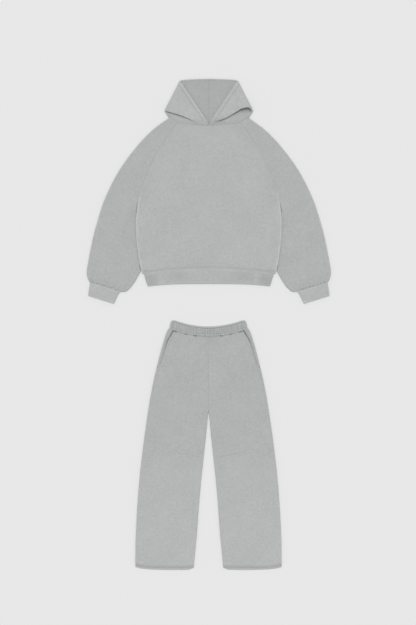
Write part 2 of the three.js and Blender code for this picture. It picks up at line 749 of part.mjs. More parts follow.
// The hip piece that shows past the pocket mouth. It joins the back panel at the side seam.
function pocketFacing(side) {
  const heights = legHeights.filter((height) => height >= POCKET.open).map((h) => Math.max(h, POCKET.facingFoot));
  const grid = heights.map((height) => {
    const seamEdge = outseam(height);
    const innerEdge = pocketMouth(height) - POCKET.facingUnder;
    const front = frontMiddle(FLEECE, legAir(height));
    const edge = layerEdge(1, front, backMiddle(FLEECE), FLEECE, 2);
    const rowY = (x) => legRow(height, x, backHem);
    const to = seamEdge - edge.at(-1).inset;
    const flat = steps(3)
      .slice(0, -1)
      .map((t) => lerp(innerEdge, to, t))
      .map((x) => new THREE.Vector3(side * x, rowY(x), front));
    const rolled = edge
      .map(({ inset, z }) => new THREE.Vector3(side * (seamEdge - inset), rowY(seamEdge - inset), z))
      .reverse();
    return [...flat, ...rolled];
  });
  return clothWall(grid, FLEECE, { last: squareTo(waistSeam) });
}

// The waistband is an elasticated tube: gathers stand across its front, and its back edge shows above.
function waistband() {
  const { halfBottom, halfMiddle, halfTop, top, frontLower, channel } = WAISTBAND;
  const rows = [
    { t: 0, gather: 0.5, air: 1.6 },
    { t: channel * 0.5, gather: 0.7, air: 2.4 },
    { t: channel, gather: 0.2, air: 0.9 },
    { t: 0.62, gather: 1, air: 2.0 },
    { t: 1, gather: 0.45, air: 1.0 },
  ];
  const grid = rows.map(({ t, gather, air }) => {
    const half = t < 0.5 ? lerp(halfBottom, halfMiddle, 2 * t) : lerp(halfMiddle, halfTop, 2 * t - 1);
    const a = new THREE.Vector2(-half, 0);
    const b = new THREE.Vector2(half, 0);
    const shift = (s, onFront) => {
      const out = Math.abs(2 * s - 1);
      const bottom = waistSeam(out * half) + SEAM;
      const backEdge = top.centre + top.rise * Math.min(1, out / top.risesTo) ** 2;
      return new THREE.Vector2(0, lerp(bottom, backEdge - onFront * frontLower, t));
    };
    const wave = (k) => WAISTBAND.gatherDepth * gather * (k % 2 ? 1 : -0.4);
    return tubeLoop({
      a,
      b,
      thickness: FLEECE,
      airAt: () => air,
      frontAt: between(2 * WAISTBAND.gathers),
      backAt: between(2 * LEG.backColumns),
      wave,
      shift,
    });
  });
  return clothWall(grid, FLEECE, { round: true, first: squareTo(waistSeam) });
}

// Materials and assembly

const fleece = new THREE.MeshStandardMaterial({ color: 0xb4b5b5, roughness: 0.95, metalness: 0 });
const rib = new THREE.MeshStandardMaterial({ color: 0xb3b4b4, roughness: 0.92, metalness: 0 });

const pullover = new THREE.Group();
pullover.position.y = TOP_AT;
const trousers = new THREE.Group();
trousers.position.set(LEG_SHIFT, LEG_AT, 0);

function sew(group, name, geometry, material = fleece) {
  const mesh = new THREE.Mesh(geometry, material);
  mesh.name = name;
  group.add(mesh);
}

const WORN_SIDES = [
  { word: "right", side: -1 },
  { word: "left", side: 1 },
];

sew(pullover, "pullover_front", bodyPanel(true));
sew(pullover, "pullover_back", bodyPanel(false));
sew(pullover, "hem_rib", hemRib(), rib);
sew(trousers, "waistband", waistband());
WORN_SIDES.forEach(({ word, side }) => {
  sew(pullover, `sleeve_${word}`, sleeve(side));
  sew(pullover, `cuff_${word}`, cuff(side), rib);
  sew(pullover, `hood_${word}`, hoodHalf(side));
  sew(trousers, `trouser_front_${word}`, legPanel(side, true, 2 * WAIST_PUCKERS));
  sew(trousers, `trouser_back_${word}`, legPanel(side, false, LEG.backColumns));
  sew(trousers, `pocket_facing_${word}`, pocketFacing(side));
});

const tracksuit = new THREE.Group();
tracksuit.add(pullover, trousers);
export default tracksuit;
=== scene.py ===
# %% [markdown]
# # A grey fleece tracksuit, laid flat
#
# The object is a pair of garments lying on a pale floor and seen from straight above: a hooded pullover with
# raglan sleeves, and wide-leg trousers with an elasticated waist. Both are cut from the same brushed-back
# fleece, a knitted cloth about 2.4 mm thick, and finished with rib knit.
#
# Cloth is best made as what it is: a thin wall that follows a surface. Each piece below is a grid of points
# through the middle of the cloth, written down from a few measured lines, and then given its thickness on
# both sides. The creases are added to the grid one line each.
#
# First the fixed frame is loaded. Each piece made here stands for one solid in it and rides on its only body.

# %% Load the frame and measure it
import json
import math

import bpy
import numpy as np
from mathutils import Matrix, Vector
from mathutils.bvhtree import BVHTree

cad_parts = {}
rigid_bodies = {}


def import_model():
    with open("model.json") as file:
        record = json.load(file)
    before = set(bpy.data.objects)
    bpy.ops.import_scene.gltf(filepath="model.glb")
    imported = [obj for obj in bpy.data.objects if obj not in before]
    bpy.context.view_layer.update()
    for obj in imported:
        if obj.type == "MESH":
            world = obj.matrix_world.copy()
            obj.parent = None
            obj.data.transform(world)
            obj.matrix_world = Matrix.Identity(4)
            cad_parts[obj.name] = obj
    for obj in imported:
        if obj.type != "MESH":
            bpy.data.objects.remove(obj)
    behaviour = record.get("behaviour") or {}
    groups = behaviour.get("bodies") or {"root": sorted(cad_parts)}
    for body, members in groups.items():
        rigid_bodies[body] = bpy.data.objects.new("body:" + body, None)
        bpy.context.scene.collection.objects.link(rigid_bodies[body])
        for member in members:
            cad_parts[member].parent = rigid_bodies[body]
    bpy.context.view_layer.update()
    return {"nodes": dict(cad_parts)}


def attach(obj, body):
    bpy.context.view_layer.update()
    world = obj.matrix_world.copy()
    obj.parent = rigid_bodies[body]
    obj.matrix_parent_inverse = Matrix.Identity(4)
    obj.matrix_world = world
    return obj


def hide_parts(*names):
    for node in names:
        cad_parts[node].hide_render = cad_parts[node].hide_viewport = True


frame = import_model()
print("solids in the frame:", len(frame["nodes"]))

# %% [markdown]
# ## Camera
#
# The photograph looks straight down from far away, so both garments keep their true proportions. A camera
# 8 m up with a long lens gives the same picture. The lens follows from the height of the view, 2.625 m.

# %% Camera straight above
CAMERA_AT = Vector((-0.0036, 0.0499, 8.0))
VIEW_HEIGHT = 2.625
SENSOR = 36.0

camera_data = bpy.data.cameras.new("overhead_camera")
camera_data.sensor_width = SENSOR
camera_data.lens = SENSOR * CAMERA_AT.z / VIEW_HEIGHT
camera_data.clip_end = 100
camera = bpy.data.objects.new("overhead_camera", camera_data)
camera.location = CAMERA_AT
bpy.context.scene.collection.objects.link(camera)
bpy.context.scene.camera = camera
bpy.context.scene.view_settings.view_transform = "Standard"
print("lens:", round(camera_data.lens, 1), "mm")

# %% [markdown]
# ## Floor and light
#
# The floor is one plain pale sheet. The light comes from all round, like a bright white room, and one large
# soft lamp stands beyond the hood. That lamp is what gives the folds a lit side and a shaded side: in the
# photograph the gaps under the hood's flaps and under the hems are dark, and the slopes above them light.

# %% Floor
FLOOR_TONE = 0.80
FLOOR_HALF = 9.0

floor_mesh = bpy.data.meshes.new("floor")
corners = [(-1, -1, 0), (1, -1, 0), (1, 1, 0), (-1, 1, 0)]
floor_mesh.from_pydata([Vector(c) * FLOOR_HALF for c in corners], [], [(0, 1, 2, 3)])
floor = bpy.data.objects.new("floor", floor_mesh)
bpy.context.scene.collection.objects.link(floor)

floor_paint = bpy.data.materials.new("floor_paint")
floor_paint.use_nodes = True
paint = floor_paint.node_tree.nodes["Principled BSDF"]
paint.inputs["Base Color"].default_value = (FLOOR_TONE, FLOOR_TONE, FLOOR_TONE, 1)
paint.inputs["Roughness"].default_value = 1.0
paint.inputs["Specular IOR Level"].default_value = 0.0
floor_mesh.materials.append(floor_paint)
print("floor:", 2 * FLOOR_HALF, "m wide")

# %% Room light and one far soft lamp
ROOM_STRENGTH = 0.64
LAMP_SHARE = 0.365  # of the light on the floor
LAMP_SLANT = math.radians(22)  # from straight above, towards the hood
LAMP_SOFTNESS = math.radians(26)
LAMP_HEIGHT = 3  # metres

room = bpy.data.worlds.new("white_room")
room.use_nodes = True
room.node_tree.nodes["Background"].inputs["Color"].default_value = (1, 1, 1, 1)
room.node_tree.nodes["Background"].inputs["Strength"].default_value = ROOM_STRENGTH
bpy.context.scene.world = room

lamp_data = bpy.data.lights.new("soft_lamp", "SUN")
lamp_data.angle = LAMP_SOFTNESS
lamp_data.energy = LAMP_SHARE * math.pi / math.cos(LAMP_SLANT)
lamp = bpy.data.objects.new("soft_lamp", lamp_data)
lamp.location = (0, LAMP_HEIGHT * math.tan(LAMP_SLANT), LAMP_HEIGHT)
lamp.rotation_euler = (-LAMP_SLANT, 0, 0)
bpy.context.scene.collection.objects.link(lamp)
print("lamp strength:", round(lamp_data.energy, 2))

# %% [markdown]
# ## Measures
#
# All lengths are in millimetres. Each garment has its own heights: the pullover's are counted from just above
# the lower edge of its rib, the trousers' from just above the hems. The tables hold a few measured points on
# a line, and `follow` draws a smooth curve through them that never overshoots.

# %% Cloth and where each garment lies
FLEECE = 2.4
RIB = 3.0
SEAM = 0.4  # clear gap between two sewn pieces
SEWN_GAP = 0.12  # the same between two edges butted on top
AIR = 2.6  # air between the front and back layers
PRESSED_AIR = 0.6  # the same where the body lies on a sleeve
HOOD_TOP = 857
TOTAL_LENGTH = 2060.7
BACK_HEM = -4.6  # the lowest point of the trousers
PULLOVER_AT = (0.0, TOTAL_LENGTH / 2 - HOOD_TOP)
TROUSERS_AT = (-1.5, -TOTAL_LENGTH / 2 - BACK_HEM)
SIDES = {"right": -1, "left": 1}  # the wearer's sides, and the sign of x there
print("pullover lies at y", round(PULLOVER_AT[1], 2), "mm and trousers at", round(TROUSERS_AT[1], 2))

# %% Curves and blends
def follow(table):
    """A smooth curve through a table of (place, value) rows."""
    at, value = np.array(table, float).T
    width = np.diff(at)
    slope = np.diff(value) / width
    before = np.concatenate([slope[:1], slope])
    after = np.concatenate([slope, slope[-1:]])
    total = np.where(before + after == 0, 1, before + after)
    tangent = np.where(before * after <= 0, 0, 2 * before * after / total)

    def curve(x):
        k = np.clip(np.searchsorted(at, x, side="right") - 1, 0, len(slope) - 1)
        t = np.clip((x - at[k]) / width[k], 0, 1)
        ends = (2 * t**3 - 3 * t**2 + 1) * value[k] + (3 * t**2 - 2 * t**3) * value[k + 1]
        turns = (t**3 - 2 * t**2 + t) * tangent[k] + (t**3 - t**2) * tangent[k + 1]
        return ends + width[k] * turns

    return curve


def ease(x, low, high):
    """0 below low, 1 above high, and a smooth rise between."""
    t = np.clip((x - low) / (high - low), 0, 1)
    return t * t * (3 - 2 * t)


def mix(a, b, t):
    """a where t is 0, b where t is 1."""
    return a + (b - a) * t


def bump(x, centre, width):
    """A smooth hill of height 1."""
    return np.exp(-(((x - centre) / width) ** 2))


def spaced(*spans):
    """Places along a piece: spans of (from, to, count) joined end to end."""
    starts = [np.linspace(*span)[:-1] for span in spans]
    return np.append(np.concatenate(starts), spans[-1][1])


print("a curve through three points at 5:", round(float(follow([(0, 0), (10, 1), (20, 0)])(5)), 3))

# %% The pullover's lines
BODY_SIDE = [(43, 279), (65, 286.5), (124, 297), (198, 305), (254, 306), (305, 302.8), (362, 293)]
BODY_SIDE += [(441, 264.6), (535, 223), (614, 172.6), (672, 132)]
SLEEVE_OUTER_X = [(72, 509.3), (105, 503.8), (140, 497.5), (180, 490), (220, 481.5), (262, 470), (300, 458)]
SLEEVE_OUTER_X += [(345, 444.5), (454, 385.5), (563, 290), (618, 229), (672, 166.5)]
SLEEVE_OUTER_Y = [(72, 74), (105, 104.5), (140, 137.5), (180, 174), (220, 210.5), (262, 252.5), (300, 292.5)]
SLEEVE_OUTER_Y += [(345, 333.5), (454, 457.5), (563, 588.5), (618, 648.5), (672, 694)]
UNDER_BODY = [(72, -0.8), (100, 5), (150, 8), (240, 10), (272, 6), (300, -0.6), (345, -0.6)]
ARMPIT = 345
RAGLAN_TOP = 672
RAGLAN_HALF = 132
NECK_CENTRE = 662
SHOULDER = (166.5, 694)
RIB_SEAM_HALF = 279
RIB_TOP_HALF = 273
RIB_BOTTOM_HALF = 257

body_half = follow(BODY_SIDE)
sleeve_outer_x = follow(SLEEVE_OUTER_X)
sleeve_outer_y = follow(SLEEVE_OUTER_Y)
under_body = follow(UNDER_BODY)


def rib_seam(x):
    return 62.5 - 22.5 * np.abs(x / RIB_SEAM_HALF) ** 1.9


def rib_bottom(x):
    return -1 - 10.6 * np.abs(x / RIB_BOTTOM_HALF) ** 3.3


def neck_seam(x, centre):
    x = np.abs(x)
    bowed = centre + (RAGLAN_TOP - centre) * np.minimum(1, x / RAGLAN_HALF) ** 1.6
    slope = (SHOULDER[1] - RAGLAN_TOP) / (SHOULDER[0] - RAGLAN_HALF)
    return bowed + np.maximum(0, x - RAGLAN_HALF) * slope


print("chest:", 2 * round(float(body_half(240))), "mm flat")

# %% The trousers' lines
OUTSEAM = [(0, 306.8), (101, 306.2), (202, 302), (303, 295.8), (404, 287), (504, 275.2), (605, 261.6)]
OUTSEAM += [(698, 247.4), (765, 235.2), (832, 220.4), (899, 203.5), (941, 191.4), (983, 177.6), (1004, 167.5)]
INSEAM = [(0, 62), (51, 57.6), (152, 48.5), (252, 41.2), (353, 32.8), (454, 22.2), (555, 11.3), (610, 6.2)]
INSEAM += [(635, 3.9), (650, 2.2), (662, 0)]
POCKET_MOUTH = [(848, 203.5), (866, 199), (891, 190.7), (916, 182.3), (933, 177), (950, 170.5), (962, 165.5)]
POCKET_MOUTH += [(975, 157.5), (987, 152.5), (1000, 144.5)]
FRONT_HEM = [(0, 9), (0.06, 7), (0.4, 6.3), (0.72, 6.6), (0.9, 10.5), (1, 19)]
BACK_HEM_LINE = [(0, 5), (0.1, -3.6), (0.4, -4.6), (0.7, -2.6), (0.9, 1.6), (1, 8)]
CROTCH = 662
WAIST_ROW = 1004
WAIST_HALF = 164
WAIST_CENTRE, WAIST_RISE = 976, 32
POCKET_CLOSED = 836
POCKET_OPEN = 862

outseam = follow(OUTSEAM)
inseam = follow(INSEAM)
pocket_mouth = follow(POCKET_MOUTH)
front_hem = follow(FRONT_HEM)
back_hem = follow(BACK_HEM_LINE)


def waist_seam(x):
    return WAIST_CENTRE + WAIST_RISE * np.minimum(1, np.abs(x) / WAIST_HALF) ** 2


def leg_bend(y):
    """1 along the legs' inner seam, 0 along the centre seam above the crotch."""
    return 1 - ease(y, CROTCH - 15, CROTCH + 11)


def leg_inner(y):
    return np.maximum(inseam(y), leg_bend(y))


print("hem:", round(float(outseam(0) - inseam(0))), "mm wide flat")

# %% [markdown]
# ## From a grid to a wall of cloth
#
# A sewn garment lying flat is a stack of thin walls. `wall` takes a grid of points through the middle of the
# cloth and pushes it out by half the thickness on both sides. Solidify could do the same, but here the two
# faces get different materials, the smooth face of the knit outside and the brushed one inside, and free
# edges get a small round bead. The distances along the grid become the UV map, in metres of cloth, so that
# the knit follows each piece as it was cut.

# %% Wall helper
OUTSIDE, INSIDE, EDGE = 0, 1, 2
CUT_EDGE = math.radians(48)  # sharper turns than this are cut edges


def unit(v):
    return v / np.maximum(np.linalg.norm(v, axis=-1, keepdims=True), 1e-12)


def edge_line(grid, beads):
    """The middle line of the edges, moved outwards in the first and the last row by their beads in mm."""
    line = grid.copy()
    for bead, edge, inner in zip(beads, (0, -1), (1, -2)):
        line[edge] += unit(grid[edge] - grid[inner]) * bead
    return line


def cloth_lengths(grid, closed):
    """How far each point is along the cloth, across and lengthwise, in metres."""
    looped = np.concatenate([grid, grid[:, :1]], axis=1) if closed else grid
    across = np.linalg.norm(np.diff(looped, axis=1), axis=2).cumsum(axis=1)
    across = np.pad(across, ((0, 0), (1, 0)))
    lengthwise = np.linalg.norm(np.diff(looped, axis=0), axis=2).cumsum(axis=0)
    lengthwise = np.pad(lengthwise, ((1, 0), (0, 0)))
    middle = across.shape[1] // 2
    return np.stack([across - across[:, middle : middle + 1], lengthwise], axis=2) / 1000


def wall_corners(rows, strips, closed):
    """Each face as four corners (row, column, layer)."""
    i, j = (a.ravel() for a in np.meshgrid(np.arange(rows - 1), np.arange(strips), indexing="ij"))

    def face(*corners):
        return np.stack([np.stack(np.broadcast_arrays(*c), -1) for c in corners], 1)

    faces = [
        face((i, j, OUTSIDE), (i, j + 1, OUTSIDE), (i + 1, j + 1, OUTSIDE), (i + 1, j, OUTSIDE)),
        face((i + 1, j, INSIDE), (i + 1, j + 1, INSIDE), (i, j + 1, INSIDE), (i, j, INSIDE)),
    ]
    along, up, end = np.arange(strips), np.arange(rows - 1), rows - 1
    rims = [((0, along + 1), (0, along)), ((end, along), (end, along + 1))]
    if not closed:
        rims += [((up, 0), (up + 1, 0)), ((up + 1, strips), (up, strips))]
    for near, far in ((OUTSIDE, EDGE), (EDGE, INSIDE)):
        faces += [face((*a, near), (*b, near), (*b, far), (*a, far)) for a, b in rims]
    inside = np.repeat([0, 1] + [0] * (len(faces) - 2), [len(f) for f in faces])
    return np.concatenate(faces), inside


# %% From grid to mesh object
cloth = {}  # the pieces of cloth, by the name of the solid each stands for


def wall(node, grid, tone, place, thickness=FLEECE, closed=False, beads=(0, 0), face_up=True, face_at=None):
    """One piece of cloth. The grid is in mm, in the garment's own heights, and face_up says which way the
    smooth face looks at the row and column face_at, which is the middle of the grid if it isn't given."""
    rows, columns = grid.shape[:2]
    grid = grid + np.array([*place, 0])
    along = np.gradient(grid, axis=0)
    across = np.roll(grid, -1, 1) - np.roll(grid, 1, 1) if closed else np.gradient(grid, axis=1)
    normal = unit(np.cross(along, across))
    shown_at = face_at or (rows // 2, columns // 2)
    if (normal[shown_at][2] > 0) != face_up:
        grid, normal, tone = grid[:, ::-1], -normal[:, ::-1], tone[:, ::-1]
    half = normal * thickness / 2
    layers = np.stack([grid + half, grid - half, edge_line(grid, beads)])
    layers[..., 2] = np.maximum(layers[..., 2], 0)

    corners, inside = wall_corners(rows, columns if closed else columns - 1, closed)
    row, column, layer = corners[..., 0], corners[..., 1], corners[..., 2]
    uv = cloth_lengths(grid, closed)[row, column]
    index = (layer * rows + row) * columns + column % columns
    points = layers.reshape(-1, 3)
    a, b, c, d = (points[index[:, k]] for k in range(4))
    if (a * np.cross(b, c) + a * np.cross(c, d)).sum() < 0:
        index, uv = index[:, ::-1], uv[:, ::-1]
    used, index = np.unique(index, return_inverse=True)
    tones = np.broadcast_to(tone, (3, rows, columns)).reshape(-1)[used]
    cloth[node] = mesh_object("cloth_" + node, points[used] / 1000, index.reshape(-1, 4), uv, tones, inside)
    print(cloth[node].name, "has", len(inside), "faces")


def mesh_object(name, points, quads, uv, tones, inside):
    """The object, with its UV map, the tone of every point and the smooth and the brushed face."""
    mesh = bpy.data.meshes.new(name)
    mesh.vertices.add(len(points))
    mesh.vertices.foreach_set("co", points.astype(np.float32).ravel())
    mesh.loops.add(quads.size)
    mesh.loops.foreach_set("vertex_index", quads.astype(np.int32).ravel())
    mesh.polygons.add(len(quads))
    mesh.polygons.foreach_set("loop_start", np.arange(0, quads.size, 4, dtype=np.int32))
    mesh.update(calc_edges=True)
    mesh.uv_layers.new(name="cloth").data.foreach_set("uv", uv.astype(np.float32).ravel())
    # The tone holds each point's own tone together with the light and shade painted into the cloth.
    mesh.attributes.new("tone", "FLOAT", "POINT").data.foreach_set("value", tones.astype(np.float32))
    mesh.shade_smooth()
    mesh.set_sharp_from_angle(angle=CUT_EDGE)
    mesh.materials.append(fleece_face)
    mesh.materials.append(fleece_back)
    mesh.polygons.foreach_set("material_index", inside.astype(np.int32))
    piece = bpy.data.objects.new(name, mesh)
    bpy.context.scene.collection.objects.link(piece)
    return piece


print("a wall of 2 by 2 points has", len(wall_corners(2, 1, False)[0]), "faces")

# %% [markdown]
# ## Edges, folds and creases
#
# Where two layers meet at a side seam each rolls a quarter turn towards the other. Where they are sewn edge
# to edge they stay flat and only dip into the stitches. A crease is a soft ridge along a short path of
# points, and `lumps` is the slight unevenness that any cloth keeps when it is laid down by hand.

# %% Layers and their edges
BACK_LAYER = FLEECE / 2
EDGE_STEPS = 5


def front_layer(thickness, air):
    """How high the middle of the front layer lies."""
    return thickness * 1.5 + air


def layer_edge(bend, z, other_z, count=EDGE_STEPS):
    """A fleece layer's points from its seam edge inwards, as distances and heights. bend is 1 where it rolls
    towards the other layer and 0 where it stays flat."""
    share = np.arange(count + 1) / count
    turn = share * math.pi / 2
    half = FLEECE / 2
    middle = (z + other_z) / 2
    radius = abs(z - middle)
    seam_z = middle + np.sign(z - other_z) * SEAM / 2
    flat = mix(SEWN_GAP / 2, half + radius, share)
    rolled = half + radius * (1 - np.cos(turn))
    return mix(flat, rolled, bend), mix(z, mix(seam_z, z, np.sin(turn)), bend)


def sewn(distance, width, depth, ridge):
    """The dip at a seam and the slight ridge beside it, where the cut edges lie underneath."""
    return -depth * bump(distance, 0, width) + ridge * bump(distance, 8, 4)


print("the front layer lies", front_layer(FLEECE, AIR), "mm up")

# %% Creases and lumps
LONGEST_FADE = 60
LUMP_WAVES = 7


def path_distance(x, y, path):
    """How far each point is from a path, and how far along the path its nearest point is."""
    nearest = np.full(np.shape(x), 1e9)
    along = np.zeros(np.shape(x))
    travelled = 0.0
    for (ax, ay), (bx, by) in zip(path, path[1:]):
        dx, dy = bx - ax, by - ay
        length = math.hypot(dx, dy)
        t = np.clip(((x - ax) * dx + (y - ay) * dy) / length**2, 0, 1)
        away = np.hypot(x - ax - t * dx, y - ay - t * dy)
        closer = away < nearest
        nearest = np.where(closer, away, nearest)
        along = np.where(closer, travelled + t * length, along)
        travelled += length
    return nearest, along, travelled


def crease(x, y, path, width, height):
    """A soft ridge along a path, or a valley where the height is below zero. It fades at both ends."""
    away, along, length = path_distance(x, y, path)
    fade = min(LONGEST_FADE, length / 3)
    return height * bump(away, 0, width) * ease(along, 0, fade) * ease(length - along, 0, fade)


def creases(x, y, rows):
    """The sum of several creases, each written as a path, a width and a height."""
    return sum(crease(x, y, *row) for row in rows)


def lumps(x, y, size, seed):
    """Gentle unevenness, about 1 high, with bumps of about the given size."""
    random = np.random.default_rng(seed)
    angles = random.uniform(0, math.tau, LUMP_WAVES)
    lengths = random.uniform(0.6, 1.7, LUMP_WAVES)
    phases = random.uniform(0, math.tau, LUMP_WAVES)
    total = np.zeros(np.shape(x))
    for angle, length, phase in zip(angles, lengths, phases):
        total += np.sin(math.tau * (x * np.cos(angle) + y * np.sin(angle)) / (size * length) + phase)
    return total / math.sqrt(LUMP_WAVES)


print("lumps at one spot:", [round(float(lumps(0, 0, 100, seed)), 2) for seed in range(3)])

# %% [markdown]
# ## Materials
#
# The fleece is a heather grey: fibres of several greys are spun together, so the colour is even from afar and
# speckled close by. Its face is a plain knit, which shows as tiny columns of V-shaped stitches. Its back is
# brushed to a soft pile. Both are matt, with the faint sheen of loose fibres at a slant. Flat noise alone
# would look like paper, so the knit is drawn as chevrons along the UV map, in millimetres of cloth.

# %% Node helpers
def nodes_of(tree):
    """A function that adds a node to the tree by type, links, values and settings, and hands it back."""

    def add(kind, links=None, values=None, **settings):
        node = tree.nodes.new(kind)
        for key, value in settings.items():
            setattr(node, key, value)
        for key, value in (values or {}).items():
            node.inputs[key].default_value = value
        for key, source in (links or {}).items():
            tree.links.new(source, node.inputs[key])
        return node

    return add


def math_node(add, operation, a, b=None):
    """One Math node. Numbers become its own values and sockets become links."""
    node = add("ShaderNodeMath", operation=operation)
    for slot, given in enumerate((a, b)):
        if isinstance(given, (int, float)):
            node.inputs[slot].default_value = given
        elif given is not None:
            node.id_data.links.new(given, node.inputs[slot])
    return node.outputs[0]


def noise(add, vector, scale, detail, roughness):
    """The value of a noise texture, round 0.5."""
    settings = {"Scale": scale, "Detail": detail, "Roughness": roughness}
    return add("ShaderNodeTexNoise", {"Vector": vector}, settings).outputs["Fac"]


def speckle(add, vector, scale, detail, strength):
    """Noise as a factor round 1: 1 - strength to 1 + strength."""
    spread = add(
        "ShaderNodeMapRange",
        {"Value": noise(add, vector, scale, detail, 0.6)},
        {"From Min": 0.25, "From Max": 0.75, "To Min": 1 - strength, "To Max": 1 + strength},
    )
    return spread.outputs[0]


# %% Colour and relief of the knit
KNIT_COLUMN = 0.0014  # one column of stitches, in metres
KNIT_ROW = 0.0011
RIB_PITCH = 0.0034
DRAWN_OUT = (3.2, 1.0, 1.0)  # how much narrower than long the fibres' specks are
FACE_GRAIN, OTHER_GRAIN = 0.08, 0.055
SPECKLES = [(90, 0.045), (34, 0.024), (7, 0.03)]  # scale per metre and strength


def heather(add, cloth_map, grain):
    """The tone attribute, the piece's own tone with painted light and shade, speckled at five sizes from
    single fibres to patches as large as a hand.
    """
    drawn_out = add("ShaderNodeMapping", {"Vector": cloth_map}, {"Scale": DRAWN_OUT}).outputs[0]
    shade = add("ShaderNodeAttribute", attribute_name="tone").outputs["Fac"]
    shade = math_node(add, "MULTIPLY", shade, speckle(add, drawn_out, 900, 2.0, 0.16))
    for scale, strength in [(210, grain), *SPECKLES]:
        shade = math_node(add, "MULTIPLY", shade, speckle(add, cloth_map, scale, 1.0, strength))
    return shade


def stitches_in_knit(add, u, v):
    """Height of a plain knit: chevrons that point along the columns, and a groove between the columns."""
    in_column = math_node(add, "PINGPONG", u, KNIT_COLUMN / 2)
    slant = math_node(add, "MULTIPLY", in_column, 1.3)
    row = math_node(add, "MULTIPLY", math_node(add, "ADD", v, slant), math.tau / KNIT_ROW)
    chevron = math_node(add, "MULTIPLY", math_node(add, "SINE", row), 0.35)
    column = math_node(add, "MULTIPLY", in_column, 2 / KNIT_COLUMN)
    return math_node(add, "ADD", chevron, column)


def brushed_pile(add, cloth_map):
    """Height of loose fibres: a fine fuzz on softer tufts."""
    fuzz = noise(add, cloth_map, 1500.0, 3.0, 0.7)
    tufts = noise(add, cloth_map, 240.0, 2.0, 0.5)
    return math_node(add, "ADD", fuzz, math_node(add, "MULTIPLY", tufts, 1.4))


print("knit columns to the centimetre:", round(0.01 / KNIT_COLUMN, 1))

# %% Fleece and rib materials
GREY = (0.456, 0.462, 0.462, 1)
BRUSHED_GREY = (0.43, 0.436, 0.436, 1)
RIB_GREY = (0.448, 0.454, 0.454, 1)
MATT = 0.93
KNIT_DEPTH = 0.00035  # metres


def cloth_material(name, colour, kind):
    """kind is face, brushed or rib."""
    material = bpy.data.materials.new(name)
    material.use_nodes = True
    tree = material.node_tree
    add = nodes_of(tree)
    cloth_map = add("ShaderNodeUVMap", uv_map="cloth").outputs["UV"]
    split = add("ShaderNodeSeparateXYZ", {"Vector": cloth_map})
    u, v = split.outputs["X"], split.outputs["Y"]

    shade = heather(add, cloth_map, FACE_GRAIN if kind == "face" else OTHER_GRAIN)
    height = brushed_pile(add, cloth_map)
    if kind == "face":
        height = math_node(add, "ADD", math_node(add, "MULTIPLY", height, 0.8), stitches_in_knit(add, u, v))
    if kind == "rib":
        wave = math_node(add, "SINE", math_node(add, "MULTIPLY", u, math.tau / RIB_PITCH))
        ridges = math_node(add, "ADD", math_node(add, "MULTIPLY", wave, 1.6), stitches_in_knit(add, u, v))
        height = math_node(add, "ADD", ridges, height)
        # Painted shade: the colour is darkened in the rib's valleys.
        valley = math_node(add, "ADD", math_node(add, "MULTIPLY", wave, 0.06), 0.985)
        shade = math_node(add, "MULTIPLY", shade, valley)

    tinted = add("ShaderNodeMix", {7: shade}, {0: 1.0, 6: colour}, data_type="RGBA", blend_type="MULTIPLY")
    strength = 0.8 if kind == "brushed" else 0.55
    relief = add("ShaderNodeBump", {"Height": height}, {"Strength": strength, "Distance": KNIT_DEPTH})
    rough = math_node(add, "MULTIPLY", speckle(add, cloth_map, 120, 1.0, 0.04), MATT)
    shader = tree.nodes["Principled BSDF"]
    tree.links.new(tinted.outputs[2], shader.inputs["Base Color"])
    tree.links.new(relief.outputs["Normal"], shader.inputs["Normal"])
    tree.links.new(rough, shader.inputs["Roughness"])
    shader.inputs["Specular IOR Level"].default_value = 0.2
    shader.inputs["Sheen Weight"].default_value = 0.25
    shader.inputs["Sheen Roughness"].default_value = 0.35
    return material


fleece_face = cloth_material("fleece_face", GREY, "face")
fleece_back = cloth_material("fleece_brushed_back", BRUSHED_GREY, "brushed")
rib_knit = cloth_material("rib_knit", RIB_GREY, "rib")
print("materials:", [m.name for m in bpy.data.materials])

# %% [markdown]
# The seams are sewn with a thread of nearly the same grey. A twisted thread catches the light in small
# slanting bands, and one wave along it paints these bands into its colour as painted highlight and painted
# shade.

# %% Thread material
# The darker and the lighter grey are painted shade and painted highlight on the twisted thread.
DARK_BAND = (0.36, 0.365, 0.365, 1)
LIT_BAND = (0.5, 0.505, 0.505, 1)

thread = bpy.data.materials.new("grey_thread")
thread.use_nodes = True
add = nodes_of(thread.node_tree)
where = add("ShaderNodeTexCoord").outputs["Object"]
bands = {"Scale": 900.0, "Distortion": 1.0}
twist = add("ShaderNodeTexWave", {"Vector": where}, bands, bands_direction="DIAGONAL").outputs["Fac"]
painted_light_and_shade_bands = add("ShaderNodeMix", {0: twist}, {6: DARK_BAND, 7: LIT_BAND}, data_type="RGBA")
thread_relief = add("ShaderNodeBump", {"Height": twist}, {"Strength": 0.5, "Distance": 0.0001})
thread_shader = thread.node_tree.nodes["Principled BSDF"]
thread_shader.inputs["Roughness"].default_value = 0.6
thread.node_tree.links.new(painted_light_and_shade_bands.outputs[2], thread_shader.inputs["Base Color"])
thread.node_tree.links.new(thread_relief.outputs["Normal"], thread_shader.inputs["Normal"])
print("thread:", thread.name)

# %% [markdown]
# ## Body of the pullover
#
# Front and back are two panels that meet at the side seams. Low down the front layer fills out over the rib,
# which is drawn in, and along its sides the body lies over the sleeves, so its edges are lifted. The creases
# are long and very soft, because the cloth is thick. The back has its own set, as a hidden side would.

